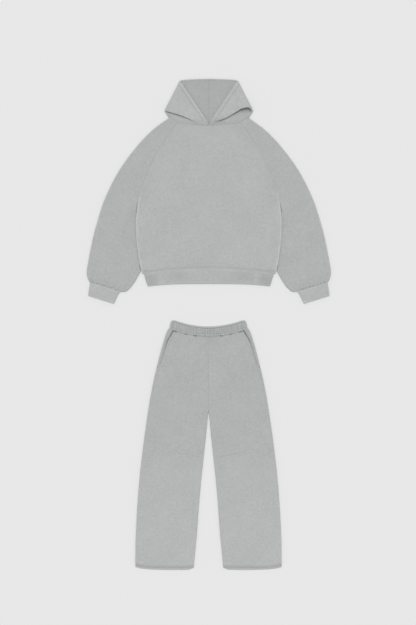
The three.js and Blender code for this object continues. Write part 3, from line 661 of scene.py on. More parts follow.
# %% Seams and creases of the body
RAGLAN_SEAM = (2.8, 1.1, 0.6)  # width, depth and ridge
NECK_SEAM = (4.5, 0.9, 0.3)
RIB_SEAM = (2.2, 0.7, 0.0)
RIB_STITCHES = 6.4  # above the seam of the hem rib
BODY_CREASES = [
    ([(-236, 330), (-170, 250), (-128, 190)], 20, 0.8),
    ([(232, 352), (186, 262), (160, 170)], 24, 0.7),
    ([(-60, 560), (-96, 430), (-84, 300)], 30, 0.5),
    ([(96, 600), (120, 480), (82, 390)], 26, 0.45),
    ([(-210, 120), (-120, 96), (-20, 108)], 16, 0.5),
    ([(60, 92), (150, 112), (236, 96)], 15, 0.55),
]
BACK_CREASES = [
    ([(-226, 320), (-150, 226), (-120, 140)], 22, -0.8),
    ([(246, 340), (180, 280), (140, 200)], 20, -0.7),
    ([(-20, 590), (30, 420), (10, 260)], 28, -0.6),
    ([(-180, 110), (-40, 92), (120, 118)], 17, -0.5),
]


def body_relief(x, y, is_front, neck):
    """Seams, creases and unevenness on top of the plain layer."""
    near_raglan = ease(y, ARMPIT - 20, ARMPIT + 30)
    raglan = sewn(body_half(np.minimum(y, RAGLAN_TOP)) - np.abs(x), *RAGLAN_SEAM) * near_raglan
    above_rib = y - rib_seam(x)
    at_rib = sewn(above_rib, *RIB_SEAM) - 0.8 * bump(above_rib, RIB_STITCHES, 1.9)
    at_neck = sewn(neck(x) - y, *NECK_SEAM)
    inner = 1 - ease(np.abs(x), body_half(y) - 60, body_half(y) - 12)
    rows = BODY_CREASES if is_front else BACK_CREASES
    broad = creases(x, y, rows) + 0.30 * lumps(x, y, 150, 3 + is_front)
    fine = 0.10 * lumps(x, y, 46, 13 + is_front)
    return raglan + at_rib + at_neck + (broad + fine) * inner


print("creases on the body:", len(BODY_CREASES), "in front and", len(BACK_CREASES), "behind")

# %% Layers of the body
LIFT = 6.0  # how far the body's edges lie up, over the sleeves
LIFT_STARTS, LIFT_FULL = 55, 14  # distances from the edge
BODY_LOW = 43  # where the side seams end at the hem rib


def body_lift(x, y):
    half = body_half(y)
    across = ease(np.abs(x), half - LIFT_STARTS, half - LIFT_FULL)
    return LIFT * across * ease(y, 46, 62) * (1 - ease(y, 302, ARMPIT))


def body_air(x, y):
    above = y - rib_seam(x)
    full = 0.5 * bump(above, 26, 22) - 0.9 * (1 - ease(above, 0, 5))
    return AIR + full - body_lift(x, y) / LIFT


def side_bend(y):
    """1 where the layers roll together at the side, 0 along the raglan seam."""
    return 1 - ease(y, ARMPIT - 30, ARMPIT + 12)


print("the body's edge lies", round(float(body_lift(body_half(200), 200)), 1), "mm up at the sleeve")

# %% Body panels
BODY_SHARES = np.linspace(-1, 1, 128)
BODY_TONE = 1.03
HEM_FOLLOWED = 180  # the rows bend with the rib seam up to this height
NECK_FOLLOWED = 508  # and with the neck seam from this one on
EDGE_MARGIN = 2.0  # between the even points and those of the edge


def body_row(height, is_front, neck):
    """One row of points across a panel."""
    half = float(body_half(height))
    near_hem = 1 - ease(height, BODY_LOW, HEM_FOLLOWED)
    near_neck = ease(height, NECK_FOLLOWED, RAGLAN_TOP)

    def row_y(x):
        hem = rib_seam(x / half * RIB_SEAM_HALF) + SEAM - BODY_LOW
        return height + near_hem * hem + near_neck * (neck(x / half * RAGLAN_HALF) - RAGLAN_TOP)

    def levels(x):
        ground = body_lift(x, height)
        back, front = ground + BACK_LAYER, ground + front_layer(FLEECE, body_air(x, height))
        return (front, back) if is_front else (back, front)

    inset, _ = layer_edge(1, *levels(half))
    bend = side_bend(height)
    inset, z = layer_edge(bend, *levels(half - inset[-1]))
    z = z + sewn(inset, *RAGLAN_SEAM) * (1 - bend)
    x = BODY_SHARES * (half - inset[-1] - EDGE_MARGIN)
    xs = np.concatenate([-(half - inset), x, (half - inset)[::-1]])
    relief = body_relief(x, row_y(x), is_front, neck)
    held = levels(x)[0] + (relief if is_front else np.maximum(relief, -0.4) * 0.5)
    return np.stack([xs, row_y(xs), np.concatenate([z, held, z[::-1]])], axis=1)


def body_tone(grid, neck):
    """Painted highlight where the sides roll over, painted shade in the rib seam, its stitches and the neck
    seam, and a little darker beside the raglan seams.
    """
    x, y = np.abs(grid[..., 0]), grid[..., 1]
    edge_x = body_half(np.minimum(y, RAGLAN_TOP))
    # Painted highlight along the body's rolled side edges.
    painted_edge_highlight = ease(x, edge_x - 8, edge_x - 3) * (1 - ease(y, ARMPIT - 10, ARMPIT + 60))
    by_raglan = ease(x, edge_x - 70, edge_x - 10) * ease(y, 300, ARMPIT)
    above_rib = y - rib_seam(x)
    # Painted shade in the rib seam and its stitch line, and at the neck seam below.
    at_rib = 0.17 * bump(above_rib, 0, 1.9) + 0.13 * bump(above_rib, RIB_STITCHES, 1.7)
    return BODY_TONE + 0.16 * painted_edge_highlight - 0.025 * by_raglan - at_rib - 0.05 * bump(neck(x) - y, 0, 5)


def body_panel(node, is_front):
    def neck(x):
        return neck_seam(x, NECK_CENTRE if is_front else RAGLAN_TOP)

    heights = spaced((BODY_LOW, 75, 24), (75, 650, 126), (650, RAGLAN_TOP, 9))
    grid = np.array([body_row(height, is_front, neck) for height in heights])
    wall(node, grid, body_tone(grid, neck), PULLOVER_AT, face_up=is_front)


body_panel("pullover_front", True)
body_panel("pullover_back", False)

# %% [markdown]
# ## Sleeves
#
# A raglan sleeve is one piece of cloth from the neck to the wrist, folded along its outer edge. These are
# full at the wrist and gathered into the cuff, so the cloth balloons just above it and runs into short
# pleats. Each sleeve is written as sections across it, from the neck seam down.

# %% Sections of a sleeve
SLEEVE_END = [(286.6, 53, 512.2, 54), (298.2, 28.5, 512, 38), (315, 0, 509.5, 25), (336, -25, 506, 16)]
SLEEVE_END += [(350, -34, 502.5, 9.5), (369, -35.5, 499.3, 4)]
SLEEVE_LOW = 72  # where the table of the sleeve's end takes over
TUCK_FULL, TUCK_NONE = 262, 330  # heights between which the sleeve comes out from under the body


def sleeve_rows():
    """Sections as columns: inner x, inner y, outer x, outer y, bend, tucked, to_cuff."""
    heights = np.linspace(RAGLAN_TOP, SLEEVE_LOW, 131)
    tucked_in = np.where(heights < ARMPIT, under_body(heights), 0)
    columns = [body_half(heights) - tucked_in, heights, sleeve_outer_x(heights), sleeve_outer_y(heights)]
    columns += [side_bend(heights), 1 - ease(heights, TUCK_FULL, TUCK_NONE), np.zeros_like(heights)]
    upper = np.stack(columns, axis=1)
    count = len(SLEEVE_END)
    end = [(*row, 1, 1 - ease(k, -1, 2), (k + 1) / count) for k, row in enumerate(SLEEVE_END)]
    last_upper = upper[-7::3]
    keys = np.concatenate([last_upper, np.array(end)])
    moved = np.linalg.norm(np.diff(keys[:, :4], axis=0), axis=1).cumsum()
    at = np.concatenate([[0], moved])
    places = np.linspace(at[len(last_upper) - 1], at[-1], 48)[1:]
    lower = np.stack([follow(np.stack([at, keys[:, k]], 1))(places) for k in range(keys.shape[1])], axis=1)
    return np.concatenate([upper, lower])


print("sections of a sleeve:", len(sleeve_rows()))

# %% Relief of a sleeve
SLEEVE_CREASES = {
    1: [
        ([(330, 330), (372, 250), (398, 160), (404, 80)], 16, 1.3),
        ([(420, 330), (446, 240), (452, 150)], 18, 0.9),
        ([(300, 470), (352, 372), (378, 300)], 20, -0.9),
        ([(332, 210), (350, 120), (372, 40)], 13, -1.0),
        ([(232, 600), (290, 500), (322, 430)], 18, 0.7),
        ([(440, 110), (462, 60), (470, 10)], 11, 1.0),
    ],
    -1: [
        ([(336, 316), (366, 232), (384, 140), (400, 60)], 18, 1.2),
        ([(412, 352), (440, 262), (458, 170)], 16, 1.0),
        ([(286, 486), (340, 384), (372, 322)], 22, -0.8),
        ([(326, 176), (352, 100), (378, 30)], 12, -1.1),
        ([(240, 584), (286, 508), (330, 418)], 17, 0.8),
        ([(452, 128), (468, 70), (462, 16)], 12, 0.8),
    ],
}
PLEATS = 8.5  # across the front at the cuff


def sleeve_air(s, tucked, to_cuff):
    """Air between the layers, by the distance from the inner edge."""
    puffed = 2.2 * math.sin(math.pi * min(1, to_cuff * 1.1)) - 1.2 * ease(to_cuff, 0.8, 1)
    pressed = tucked * (1 - ease(s, 14, 50)) * (AIR - PRESSED_AIR)
    return AIR + puffed * ease(s, 4, 40) - pressed


def sleeve_relief(x, y, s, width, side, to_cuff):
    """Creases and lumps, held down at both edges and near the cuff."""
    inner = ease(s, 16, 60) * (1 - ease(s, width - 30, width - 6))
    relief = creases(x, y, SLEEVE_CREASES[side]) + 0.45 * lumps(x, y, 110, 21 + side)
    relief = relief + 0.12 * lumps(x, y, 40, 31 + side)
    return relief * inner * (1 - 0.5 * to_cuff)


def sleeve_pleats(share, wobble, to_cuff):
    """Uneven waves that rise towards the cuff."""
    phase = share * PLEATS + np.interp(share, np.linspace(0, 1, len(wobble)), wobble)
    waves = 1.15 * np.sin(math.tau * phase) + 0.4 * np.sin(math.tau * phase * 2.3 + 1)
    return waves * ease(to_cuff, 0.3, 0.95)


print("creases on each sleeve:", [len(rows) for rows in SLEEVE_CREASES.values()])

# %% Sleeves
SLEEVE_EDGE_STEPS, SLEEVE_FOLD_STEPS = 4, 8
SLEEVE_FRONT_CELLS, SLEEVE_BACK_CELLS = 46, 18
SLEEVE_TONE = 0.997


def sleeve_section(row, side, wobble):
    """The points and tones of one section: front, outer fold and back."""
    ix, iy, ox, oy, bend, tucked, to_cuff = row
    along = np.array([ox - ix, oy - iy])
    width = float(np.linalg.norm(along))
    along /= width

    def front(s):
        return front_layer(FLEECE, sleeve_air(s, tucked, to_cuff))

    inset, z_front = layer_edge(bend, front(0), BACK_LAYER, SLEEVE_EDGE_STEPS)
    z_front = z_front + sewn(inset, *RAGLAN_SEAM) * (1 - bend)
    inset_back, z_back = layer_edge(bend, BACK_LAYER, front(0), SLEEVE_EDGE_STEPS)
    radius = (front(width) - BACK_LAYER) / 2
    centre = width - FLEECE / 2 - radius

    share = np.arange(1, SLEEVE_FRONT_CELLS) / SLEEVE_FRONT_CELLS
    s_flat = mix(inset[-1], centre, share)
    x, y = ix + along[0] * s_flat, iy + along[1] * s_flat
    pleats = sleeve_pleats(share, wobble, to_cuff)
    z_flat = front(s_flat) + sleeve_relief(x, y, s_flat, width, side, to_cuff)
    z_flat = z_flat + sewn(s_flat, *RAGLAN_SEAM) * (1 - bend)
    z_flat = z_flat + sewn(neck_seam(x, NECK_CENTRE) - y, *NECK_SEAM)
    z_flat = z_flat + pleats * ease(s_flat, 6, 30) - 0.7 * ease(to_cuff, 0.93, 1)

    turn = math.pi / 2 * (1 - 2 * np.arange(SLEEVE_FOLD_STEPS + 1) / SLEEVE_FOLD_STEPS)
    s_back = mix(centre, inset_back[-1], np.arange(1, SLEEVE_BACK_CELLS) / SLEEVE_BACK_CELLS)
    s = np.concatenate([inset, s_flat, centre + radius * np.cos(turn), s_back, inset_back[::-1]])
    z_fold = BACK_LAYER + radius * (1 + np.sin(turn))
    z = np.concatenate([z_front, z_flat, z_fold, np.full(len(s_back), BACK_LAYER), z_back[::-1]])
    # Painted shade in the pleats' valleys, and painted highlights on the outer fold and just above the cuff
    # seam.
    painted_pleat_shade = np.zeros_like(s)
    painted_pleat_shade[len(inset) : len(inset) + len(s_flat)] = 0.035 * np.minimum(pleats, 0)
    tone = SLEEVE_TONE + 0.1 * ease(s, centre - 2, width - 1) + painted_pleat_shade + 0.13 * ease(to_cuff, 0.96, 1)
    return np.stack([side * (ix + along[0] * s), iy + along[1] * s, z], axis=1), tone


def sleeve(node, side):
    wobble = np.random.default_rng(5 + side).uniform(-0.35, 0.35, 9)
    sections, tones = zip(*(sleeve_section(row, side, wobble) for row in sleeve_rows()))
    wall(node, np.array(sections), np.array(tones), PULLOVER_AT, face_at=(60, 30))


for word, side in SIDES.items():
    sleeve(f"sleeve_{word}", side)

# %% [markdown]
# ## Rib cuffs and hem
#
# The cuffs and the band at the hem are rib knit, a springy cloth with raised columns, sewn on doubled. Each
# is a short flattened tube. A tube is easiest as a loop: the front layer, a round fold, the back layer and
# the other fold, repeated from one edge to the other.

# %% Flattened tube
TUBE_FOLD = 8
FOLD_ROOM = 9  # mm kept free for each fold
RIB_BEAD = 0.6


def tube_loop(a, b, thickness, air, front_at, back_at, wave, shift=None):
    """One section of a flattened tube between two outline points a and b. wave raises the front layer, and
    shift moves the points by their share of the width and whether they are in front."""
    a, b = np.array(a, float), np.array(b, float)
    width = float(np.linalg.norm(b - a))
    along = (b - a) / width
    back = thickness / 2
    front_z = front_layer(thickness, air(front_at)) + wave
    left_r, right_r = (front_layer(thickness, air(np.array([0.0, 1.0]))) - back) / 2
    turn = math.pi * np.arange(TUBE_FOLD + 1) / TUBE_FOLD - math.pi / 2
    left_s = back + left_r - left_r * np.cos(turn)
    right_s = width - back - right_r + right_r * np.cos(turn[::-1])
    left_z = back + left_r * (1 + np.sin(turn))
    right_z = back + right_r * (1 + np.sin(turn[::-1]))
    s = np.concatenate([left_s, front_at * width, right_s, back_at[::-1] * width])
    z = np.concatenate([left_z, front_z, right_z, np.full(len(back_at), back)])
    points = a[:, None] + along[:, None] * s
    if shift is not None:
        up = (1 + np.sin(turn)) / 2
        on_front = np.concatenate([up, np.ones(len(front_at)), up[::-1], np.zeros(len(back_at))])
        points = points + shift(s / width, on_front)
    return np.stack([points[0], points[1], z], axis=1)


def inner_shares(count, width):
    """Even shares between the two folds of a tube."""
    return np.linspace(FOLD_ROOM / width, 1 - FOLD_ROOM / width, count)


def rib_tube(node, sections, tones, face_at):
    """A closed tube of rib knit, with a small round bead at its free edge."""
    beads = (0, RIB_BEAD)
    wall(node, np.array(sections), tones, PULLOVER_AT, RIB, closed=True, beads=beads, face_at=face_at)
    cloth[node].data.materials[0] = rib_knit


print("points round each fold:", TUBE_FOLD + 1)

# %% Cuffs
CUFF_OUTER_END = np.array([506.5, -51])
CUFF_INNER_END = np.array([397.5, -85])
CUFF_WAIST = np.array([384, -50])
CUFF_ROWS = np.linspace(0, 1, 19)
CUFF_WIDTH = 115
CUFF_FRONT, CUFF_BACK = inner_shares(70, CUFF_WIDTH), inner_shares(26, CUFF_WIDTH)
CUFF_LENGTH = 50
CUFF_TONE = 1.12


def cuff(node, side):
    ix, iy, ox, oy = SLEEVE_END[-1]
    outer, inner = np.array([ox, oy]), np.array([ix, iy])
    along = (outer - inner) / np.linalg.norm(outer - inner)
    away = np.array([along[1], -along[0]]) * SEAM
    top_outer = outer + away - along
    top_inner = inner + away + along * 3
    sections = []
    for t in CUFF_ROWS:
        a = (1 - t) ** 2 * top_inner + 2 * t * (1 - t) * CUFF_WAIST + t**2 * CUFF_INNER_END
        b = mix(top_outer, CUFF_OUTER_END, t)
        swell = math.sin(math.pi * t)

        def air(s):
            return 1.6 + 0.9 * swell * np.sin(math.pi * np.clip(s, 0, 1))

        at_x, at_y = CUFF_FRONT * CUFF_WIDTH, np.full(len(CUFF_FRONT), t * CUFF_LENGTH)
        uneven = 0.25 * lumps(at_x, at_y, 45, 41 + side) * swell
        drawn_in = -0.35 * bump(t, 0, 0.05) + 0.3 * bump(t, 0.13, 0.06) - 0.3 * bump(t, 1, 0.05)
        sections.append(tube_loop(a, b, RIB, air, CUFF_FRONT, CUFF_BACK, uneven + drawn_in))
    grid = np.array(sections)
    grid[..., 0] *= side
    down = CUFF_ROWS[:, None]
    # Painted highlights along the cuff's lower edge and in the rows just below its seam.
    tone = CUFF_TONE - 0.01 * side + 0.05 * ease(down, 0.86, 1) + 0.09 * bump(down, 0, 0.05)
    rib_tube(node, grid, tone * np.ones(grid.shape[:2]), (9, 40))


for word, side in SIDES.items():
    cuff(f"cuff_{word}", side)

# %% [markdown]
# The hem rib is drawn in at both sides. Painted shade darkens its slack ends, and a painted highlight lies on
# its upper edge just below the seam.

# %% Hem rib
HEM_WIDTH = 530
HEM_HEIGHT = 60
HEM_TONE = 1.073


def hem_tone(x, t):
    """Painted shade at both slack ends and in two soft folds, and painted highlights just below the seam and
    along the lower edge.
    """
    out = np.abs(x)
    inside = math.sin(math.pi * min(1, t * 1.1))
    # Painted shade in two soft folds and at both slack ends, and painted highlights below the seam and along
    # the lower edge.
    patches = 0.055 * (bump(x, -127, 34) + bump(x, 148, 38))
    painted_shade_at_slack_ends = (0.11 * ease(out, 206, 228) - 0.03 * bump(out, 196, 9)) * float(ease(t, 0.02, 0.3))
    lit = 0.07 * bump(out, 95, 38) * bump(t, 0.12, 0.1)
    return HEM_TONE - inside * patches - painted_shade_at_slack_ends + lit + 0.09 * ease(t, 0.86, 1)


def hem_section(t, front_at, back_at):
    half = mix(RIB_TOP_HALF, RIB_BOTTOM_HALF, t)
    swell = math.sin(math.pi * t)

    def air(s):
        return 1.2 + swell * (1.2 + 0.5 * np.cos(5 * math.pi * s))

    def shift(s, _):
        x = mix(-half, half, s)
        return np.stack([np.zeros_like(x), mix(rib_seam(x), rib_bottom(x), t)])

    x = mix(-half, half, front_at)
    soft = 0.35 * lumps(x, np.full_like(x, t * HEM_HEIGHT), 90, 51) * swell
    edge = -0.7 * bump(t, 0, 0.03) + 0.5 * bump(t, 0.12, 0.08) - 0.3 * bump(t, 1, 0.04)
    return tube_loop((-half, 0), (half, 0), RIB, air, front_at, back_at, soft + edge, shift)


shares = np.linspace(0, 1, 23)
front_at, back_at = inner_shares(230, HEM_WIDTH), inner_shares(90, HEM_WIDTH)
sections = [hem_section(t, front_at, back_at) for t in shares]
tones = np.array([hem_tone(section[:, 0], t) for section, t in zip(sections, shares)])
rib_tube("hem_rib", sections, tones, (11, 120))

# %% [markdown]
# ## Hood
#
# The hood has two halves, sewn along the centre of the back. When the pullover is laid down, the hood's back
# lies flat with its inside up, and each cheek folds forwards as a flap over its own foot, the strip that
# stands up from the neck seam. So one half is one piece of cloth: up from the neck seam, back under the flap,
# round the flap's lower edge, up the flap to the top corner, round the outer roll and across to the centre.
# The flaps stand clear of the foot, and the hollow under them is dark, partly in its own shade and partly
# from painted shadow.

# %% Hood lines
HOOD_CORNER = np.array([119.5, 847.5])
HOOD_TIP = np.array([182.6, 723.5])
HOOD_SHOULDER_X = 163
BRIM_START = np.array([3, 676])
BRIM_CORNER = np.array([116, 844.5])
BRIM_BAND = 15.0
BRIM_BEAD = 0.4
FLAP_EDGES = {
    -1: [(0, 674), (27, 676), (62, 681.5), (110, 700), (149, 712), (186, 722)],
    1: [(0, 674), (31, 680), (57, 686), (108, 713), (140, 731), (163, 735), (186, 723)],
}
# How high each flap's lower fold stands, as its radius at shares of the way from the centre to the tip.
FOLD_RADII = {
    -1: [(0, 1.3), (0.3, 1.3), (0.6, 1.9), (0.85, 2.3), (1, 2.1)],
    1: [(0, 1.3), (0.25, 1.6), (0.5, 2.6), (0.75, 4.2), (0.92, 4.6), (1, 3.0)],
}
# The fold starts at the first pair of shares and runs out into the roll beyond the second pair.
FOLD_STARTS = {-1: (0.22, 0.5), 1: (0.05, 0.3)}
FOLD_ENDS = {-1: (0.97, 1), 1: (0.96, 1)}
FOLD_DEPTH = 13.0
OPENED_TIP = {-1: 0.0, 1: 1.0}  # the left flap is curled up near its tip
FLAP_SETTLES = 66.0  # how far above its fold a flap lies flat again
HOOD_LEVEL = front_layer(FLEECE, AIR)
print("each flap reaches", HOOD_TIP[0], "mm out")

# %% Flap of the hood
FOOT_ROWS, TURN_ROWS = 14, 9
HOOD_LOW_ROWS = FOOT_ROWS + 2 * TURN_ROWS
HOOD_RISE = spaced((0, 0.92, 44), (0.92, 1, 9))


def hood_low_path(visible, radius, deep, depth, opened):
    """Up a column from the neck seam to the flap's fold: distances along the foot and heights."""
    fold = visible + radius + FLEECE / 2
    turned = fold + depth
    foot_n = np.linspace(0, turned, FOOT_ROWS + 1)[:-1]
    dips_from = visible - 9 - 9 * opened
    dip = ease(foot_n, dips_from, visible - 3 * opened)
    foot_z = -deep * dip * (1 - ease(foot_n, fold + 0.4 * depth, turned))
    foot_z -= 0.7 * bump(foot_n, 0, 4.5)
    crest = (0.3 * deep + 2.0 * opened) * bump(foot_n, dips_from - 5, 7) * ease(foot_n, 0, 10)
    turn = np.linspace(-math.pi / 2, math.pi / 2, TURN_ROWS)
    hidden = (turned + radius * np.cos(turn), radius * (1 + np.sin(turn)))
    shown = (fold - radius * np.cos(turn), radius * (3 + np.sin(turn)))
    n = np.concatenate([foot_n, hidden[0], shown[0]])
    z = np.concatenate([foot_z + crest, hidden[1], shown[1]])
    return n, z, fold


def hood_column(f, side, edge_y, radius_at):
    """One column of the flap, from the neck seam to the top corner."""
    foot_x = mix(SEAM / 2, HOOD_SHOULDER_X, f)
    foot = np.array([foot_x, float(neck_seam(foot_x, NECK_CENTRE)) + SEAM])
    edge_x = mix(3, HOOD_TIP[0], f)
    edge = np.array([edge_x, mix(float(edge_y(edge_x)), HOOD_TIP[1], float(ease(f, 0.93, 1)))])
    top = mix(BRIM_CORNER, HOOD_CORNER, f)
    radius = float(radius_at(f))
    folded = float(ease(f, *FOLD_STARTS[side]) * (1 - ease(f, *FOLD_ENDS[side])))
    visible = float(np.linalg.norm(edge - foot))
    direction = (edge - foot) / visible
    deep = 2.3 * float(ease(visible, 10, 24))
    depth = mix(FOLD_DEPTH, 1.0, float(ease(f, 0.72, 0.95)))
    opened = OPENED_TIP[side] * float(bump(f, 0.86, 0.13))
    n, z, fold = hood_low_path(visible, radius, deep, depth, opened)
    along = mix(np.linspace(0, visible, len(n)), n, folded)
    low = np.column_stack([foot + direction * along[:, None], HOOD_LEVEL + z * folded])
    start = foot + direction * mix(visible, fold, folded)
    rise = HOOD_RISE[1:]
    up = start + (top - start) * rise[:, None]
    settled = ease(rise * float(np.linalg.norm(top - start)), 0, FLAP_SETTLES)
    held = HOOD_LEVEL + 4 * radius * folded * (1 - settled)
    return np.concatenate([low, np.column_stack([up, held])])


print("rows of a flap:", HOOD_LOW_ROWS, "up to its fold and", len(HOOD_RISE) - 1, "above it")

# %% Relief and tone of the flap
HOOD_CREASES = {
    1: [([(60, 706), (92, 760), (112, 806)], 11, 0.7), ([(120, 748), (136, 784), (132, 815)], 10, -0.6)],
    -1: [([(66, 712), (90, 752), (110, 800)], 10, 0.8), ([(128, 742), (142, 776), (136, 806)], 11, -0.5)],
}
FLAP_TONE = 1.045
ARCH_SHADE = {-1: 0.0, 1: 0.36}  # painted shadow in the hollow under the curled tip
CENTRE_SHADE = {-1: 0.11, 1: 0.16}  # and painted shade where the flaps turn down towards the middle


def brim_distance(x, y):
    return path_distance(x, y, [BRIM_START, BRIM_CORNER])[0]


def hood_relief(points, side):
    """The brim's band and stitch line, and a few soft creases on the flap."""
    x, y = points[..., 0], points[..., 1]
    brim = brim_distance(x, y)
    on_flap = ease(y, 690, 700) * (1 - ease(y, 832, 842))
    band = (0.7 * (1 - ease(brim, BRIM_BAND - 2, BRIM_BAND)) - 1.0 * bump(brim, BRIM_BAND, 3.0)) * on_flap
    inner = ease(brim, BRIM_BAND + 3, BRIM_BAND + 22) * on_flap
    return band + inner * (creases(x, y, HOOD_CREASES[side]) + 0.35 * lumps(x, y, 60, 61 + side))


def flap_tone(flap, side, edge_y):
    """Painted shade on the foot, where the flaps turn down towards the middle, under the curled tip and along
    the brim's stitches.
    """
    x, y = flap[..., 0], flap[..., 1]
    rows = np.arange(len(flap))[:, None]
    on_foot, on_band = rows < FOOT_ROWS, rows >= HOOD_LOW_ROWS
    above_neck, above_edge = y - neck_seam(x, NECK_CENTRE), y - edge_y(x)
    brim = brim_distance(x, y)
    # Painted shade above the neck seam, where the flaps turn down, under the curled tip and in the brim's
    # stitch line.
    tone = FLAP_TONE - on_foot * (0.02 + 0.08 * bump(above_neck, 5, 7))
    tone -= CENTRE_SHADE[side] * bump(above_edge, 0, 11) * (1 - ease(x, 50, 85))
    painted_shadow_under_arch = bump(x, 153, 24) * bump(above_edge, 0, 13)
    tone -= on_foot * ARCH_SHADE[side] * painted_shadow_under_arch
    return tone + on_band * (0.02 * (brim < BRIM_BAND - 1) - 0.10 * bump(brim, BRIM_BAND, 3.0))


print("creases on each flap:", [len(rows) for rows in HOOD_CREASES.values()])

# %% Outer roll and back of the hood
ROLL_STEPS = 10
BACK_LEVEL_WITH_TIP = 712.0
# The inside of the hood is darker: painted shade of the hollow between the flaps, on top of the brushed
# side's darker grey.
HOOD_BACK_TONE = 0.945


def hood_roll(last_column):
    """Half a turn outwards, from the flap's last column down to the back of the hood."""
    seam_direction = unit(np.array([SHOULDER[0] - RAGLAN_HALF, SHOULDER[1] - RAGLAN_TOP]))
    step = np.gradient(last_column[:, :2], axis=0)
    square = unit(np.stack([step[:, 1], -step[:, 0]], axis=1))
    turning = np.clip(np.arange(len(last_column)) / FOOT_ROWS, 0, 1)[:, None]
    outwards = unit(mix(seam_direction, square, turning))
    radius = (last_column[:, 2:] - BACK_LAYER) / 2
    turn = math.pi / 2 * (1 - 2 * np.arange(ROLL_STEPS + 1) / ROLL_STEPS)
    out = radius * np.cos(turn)
    x = last_column[:, :1] + outwards[:, :1] * out
    y = last_column[:, 1:2] + outwards[:, 1:] * out
    return np.stack([x, y, BACK_LAYER + radius * (1 + np.sin(turn))], axis=2)


def hood_back(last_column, side):
    """The back with its inside up, from the roll to the centre seam, and its tones."""
    rows = np.arange(len(last_column))[:, None]
    share_in = np.concatenate([np.linspace(0, 1, 41)[1:-1], [0.995, 1]])
    share_up = np.concatenate([np.zeros(HOOD_LOW_ROWS), HOOD_RISE[1:]])[:, None]
    x = mix(last_column[:, :1], SEWN_GAP / 2, share_in)
    base = neck_seam(x, RAGLAN_TOP) + SEAM
    with_tip = mix(last_column[HOOD_LOW_ROWS - 1, 1], BACK_LEVEL_WITH_TIP, share_in)
    top = mix(HOOD_CORNER[1], HOOD_TOP, share_in**0.3)
    low_y = mix(base, with_tip, np.minimum(1, rows / (HOOD_LOW_ROWS - 1)))
    y = np.where(rows < HOOD_LOW_ROWS, low_y, mix(with_tip, top, share_up))
    below_top = top - y
    curl = 1.6 * (1 - ease(below_top, 2, 9)) * ease(share_in, 0, 0.06)
    uneven = 1.0 + sewn(x, 2.6, 0.9, 0.3) + 0.25 * lumps(x, y, 90, 71 + side)
    z = BACK_LAYER + curl + np.maximum(0, uneven) * ease(share_in, 0.05, 0.3)
    # Painted shade in the centre seam, and a painted highlight on the rolled top edge.
    tone = HOOD_BACK_TONE - 0.05 * bump(x, 0, 2.6) + 0.09 * (1 - ease(below_top, 2, 5))
    return np.stack([x, y, z], axis=2), tone


print("points round the roll:", ROLL_STEPS + 1)

# %% Hood halves
def hood_half(node, side):
    edge_y, radius_at = follow(FLAP_EDGES[side]), follow(FOLD_RADII[side])
    shares = spaced((0, 0.9, 42), (0.9, 1, 9))
    columns = np.array([hood_column(f, side, edge_y, radius_at) for f in shares])
    flap = columns[:-1].transpose(1, 0, 2).copy()
    shown = slice(HOOD_LOW_ROWS - 5, None)
    flap[shown, :, 2] += hood_relief(flap[shown], side)
    roll = hood_roll(columns[-1])
    back, back_tone = hood_back(columns[-1], side)
    tones = [flap_tone(flap, side, edge_y), np.full(roll.shape[:2], FLAP_TONE), back_tone]
    grid, tone = np.concatenate([flap, roll, back], axis=1), np.concatenate(tones, axis=1)
    grid[..., 0] *= side
    wall(node, grid, tone, PULLOVER_AT, beads=(0, BRIM_BEAD), face_at=(HOOD_LOW_ROWS + 20, 20))


for word, side in SIDES.items():
    hood_half(f"hood_{word}", side)

# %% [markdown]
# ## Trousers
#
# Each leg has a front and a back panel. The fronts stop at the slanted pocket mouths, where a separate hip
# piece shows. The legs are wide and lie almost smooth, with one dart across each knee, sewn from the inner
# seam, and with soft creases running down from the hips.

# %% Creases and layers of the legs
KNEE_DART = [(137, 488.5), (113, 482), (74, 475), (38, 467)]
LEG_CREASES = {
    1: [
        ([(206, 820), (236, 640), (262, 430)], 24, 0.9),
        ([(60, 900), (70, 760), (52, 690)], 18, -0.6),
        ([(120, 440), (140, 250), (132, 90)], 28, 0.8),
        ([(230, 420), (250, 260), (246, 120)], 22, -0.8),
        ([(20, 640), (70, 590), (130, 560)], 14, 0.7),
        ([(150, 930), (120, 860), (110, 780)], 20, 0.6),
    ],
    -1: [
        ([(212, 806), (232, 660), (256, 460)], 22, 0.9),
        ([(48, 910), (64, 780), (40, 700)], 20, -0.6),
        ([(132, 430), (150, 280), (160, 70)], 26, 0.9),
        ([(90, 380), (84, 230), (96, 110)], 22, -0.7),
        ([(16, 632), (80, 584), (120, 566)], 15, 0.6),
        ([(164, 950), (132, 880), (118, 760)], 18, 0.6),
    ],
}
# How far the pocket mouth stands open, by height.
gape = follow([(868, 0), (905, 0.25), (950, 1), (985, 0.9), (1004, 0.3)])
LEG_HEM_FOLLOWED = 150  # the rows bend with the hem up to this height


def leg_row(height, x, hem):
    """The true height of a row, which bends with the hem low down and with the waist seam at the top."""
    inner = leg_inner(height)
    share = np.clip((x - inner) / (outseam(height) - inner), 0, 1)
    near_hem = 1 - ease(height, 0, LEG_HEM_FOLLOWED)
    near_waist = ease(height, POCKET_OPEN, WAIST_ROW)
    return height + near_hem * hem(share) + near_waist * (waist_seam(x) - WAIST_ROW)


def leg_air(y):
    return AIR - 1.0 * ease(y, 960, 1000)


print("the knee darts lie", KNEE_DART[0][1], "mm up at their inner ends")

# %% Relief of the legs
WAIST_SPOTS = {1: [54.5, 93, 133.5, 150], -1: [55.5, 95.4, 137.5, 150]}


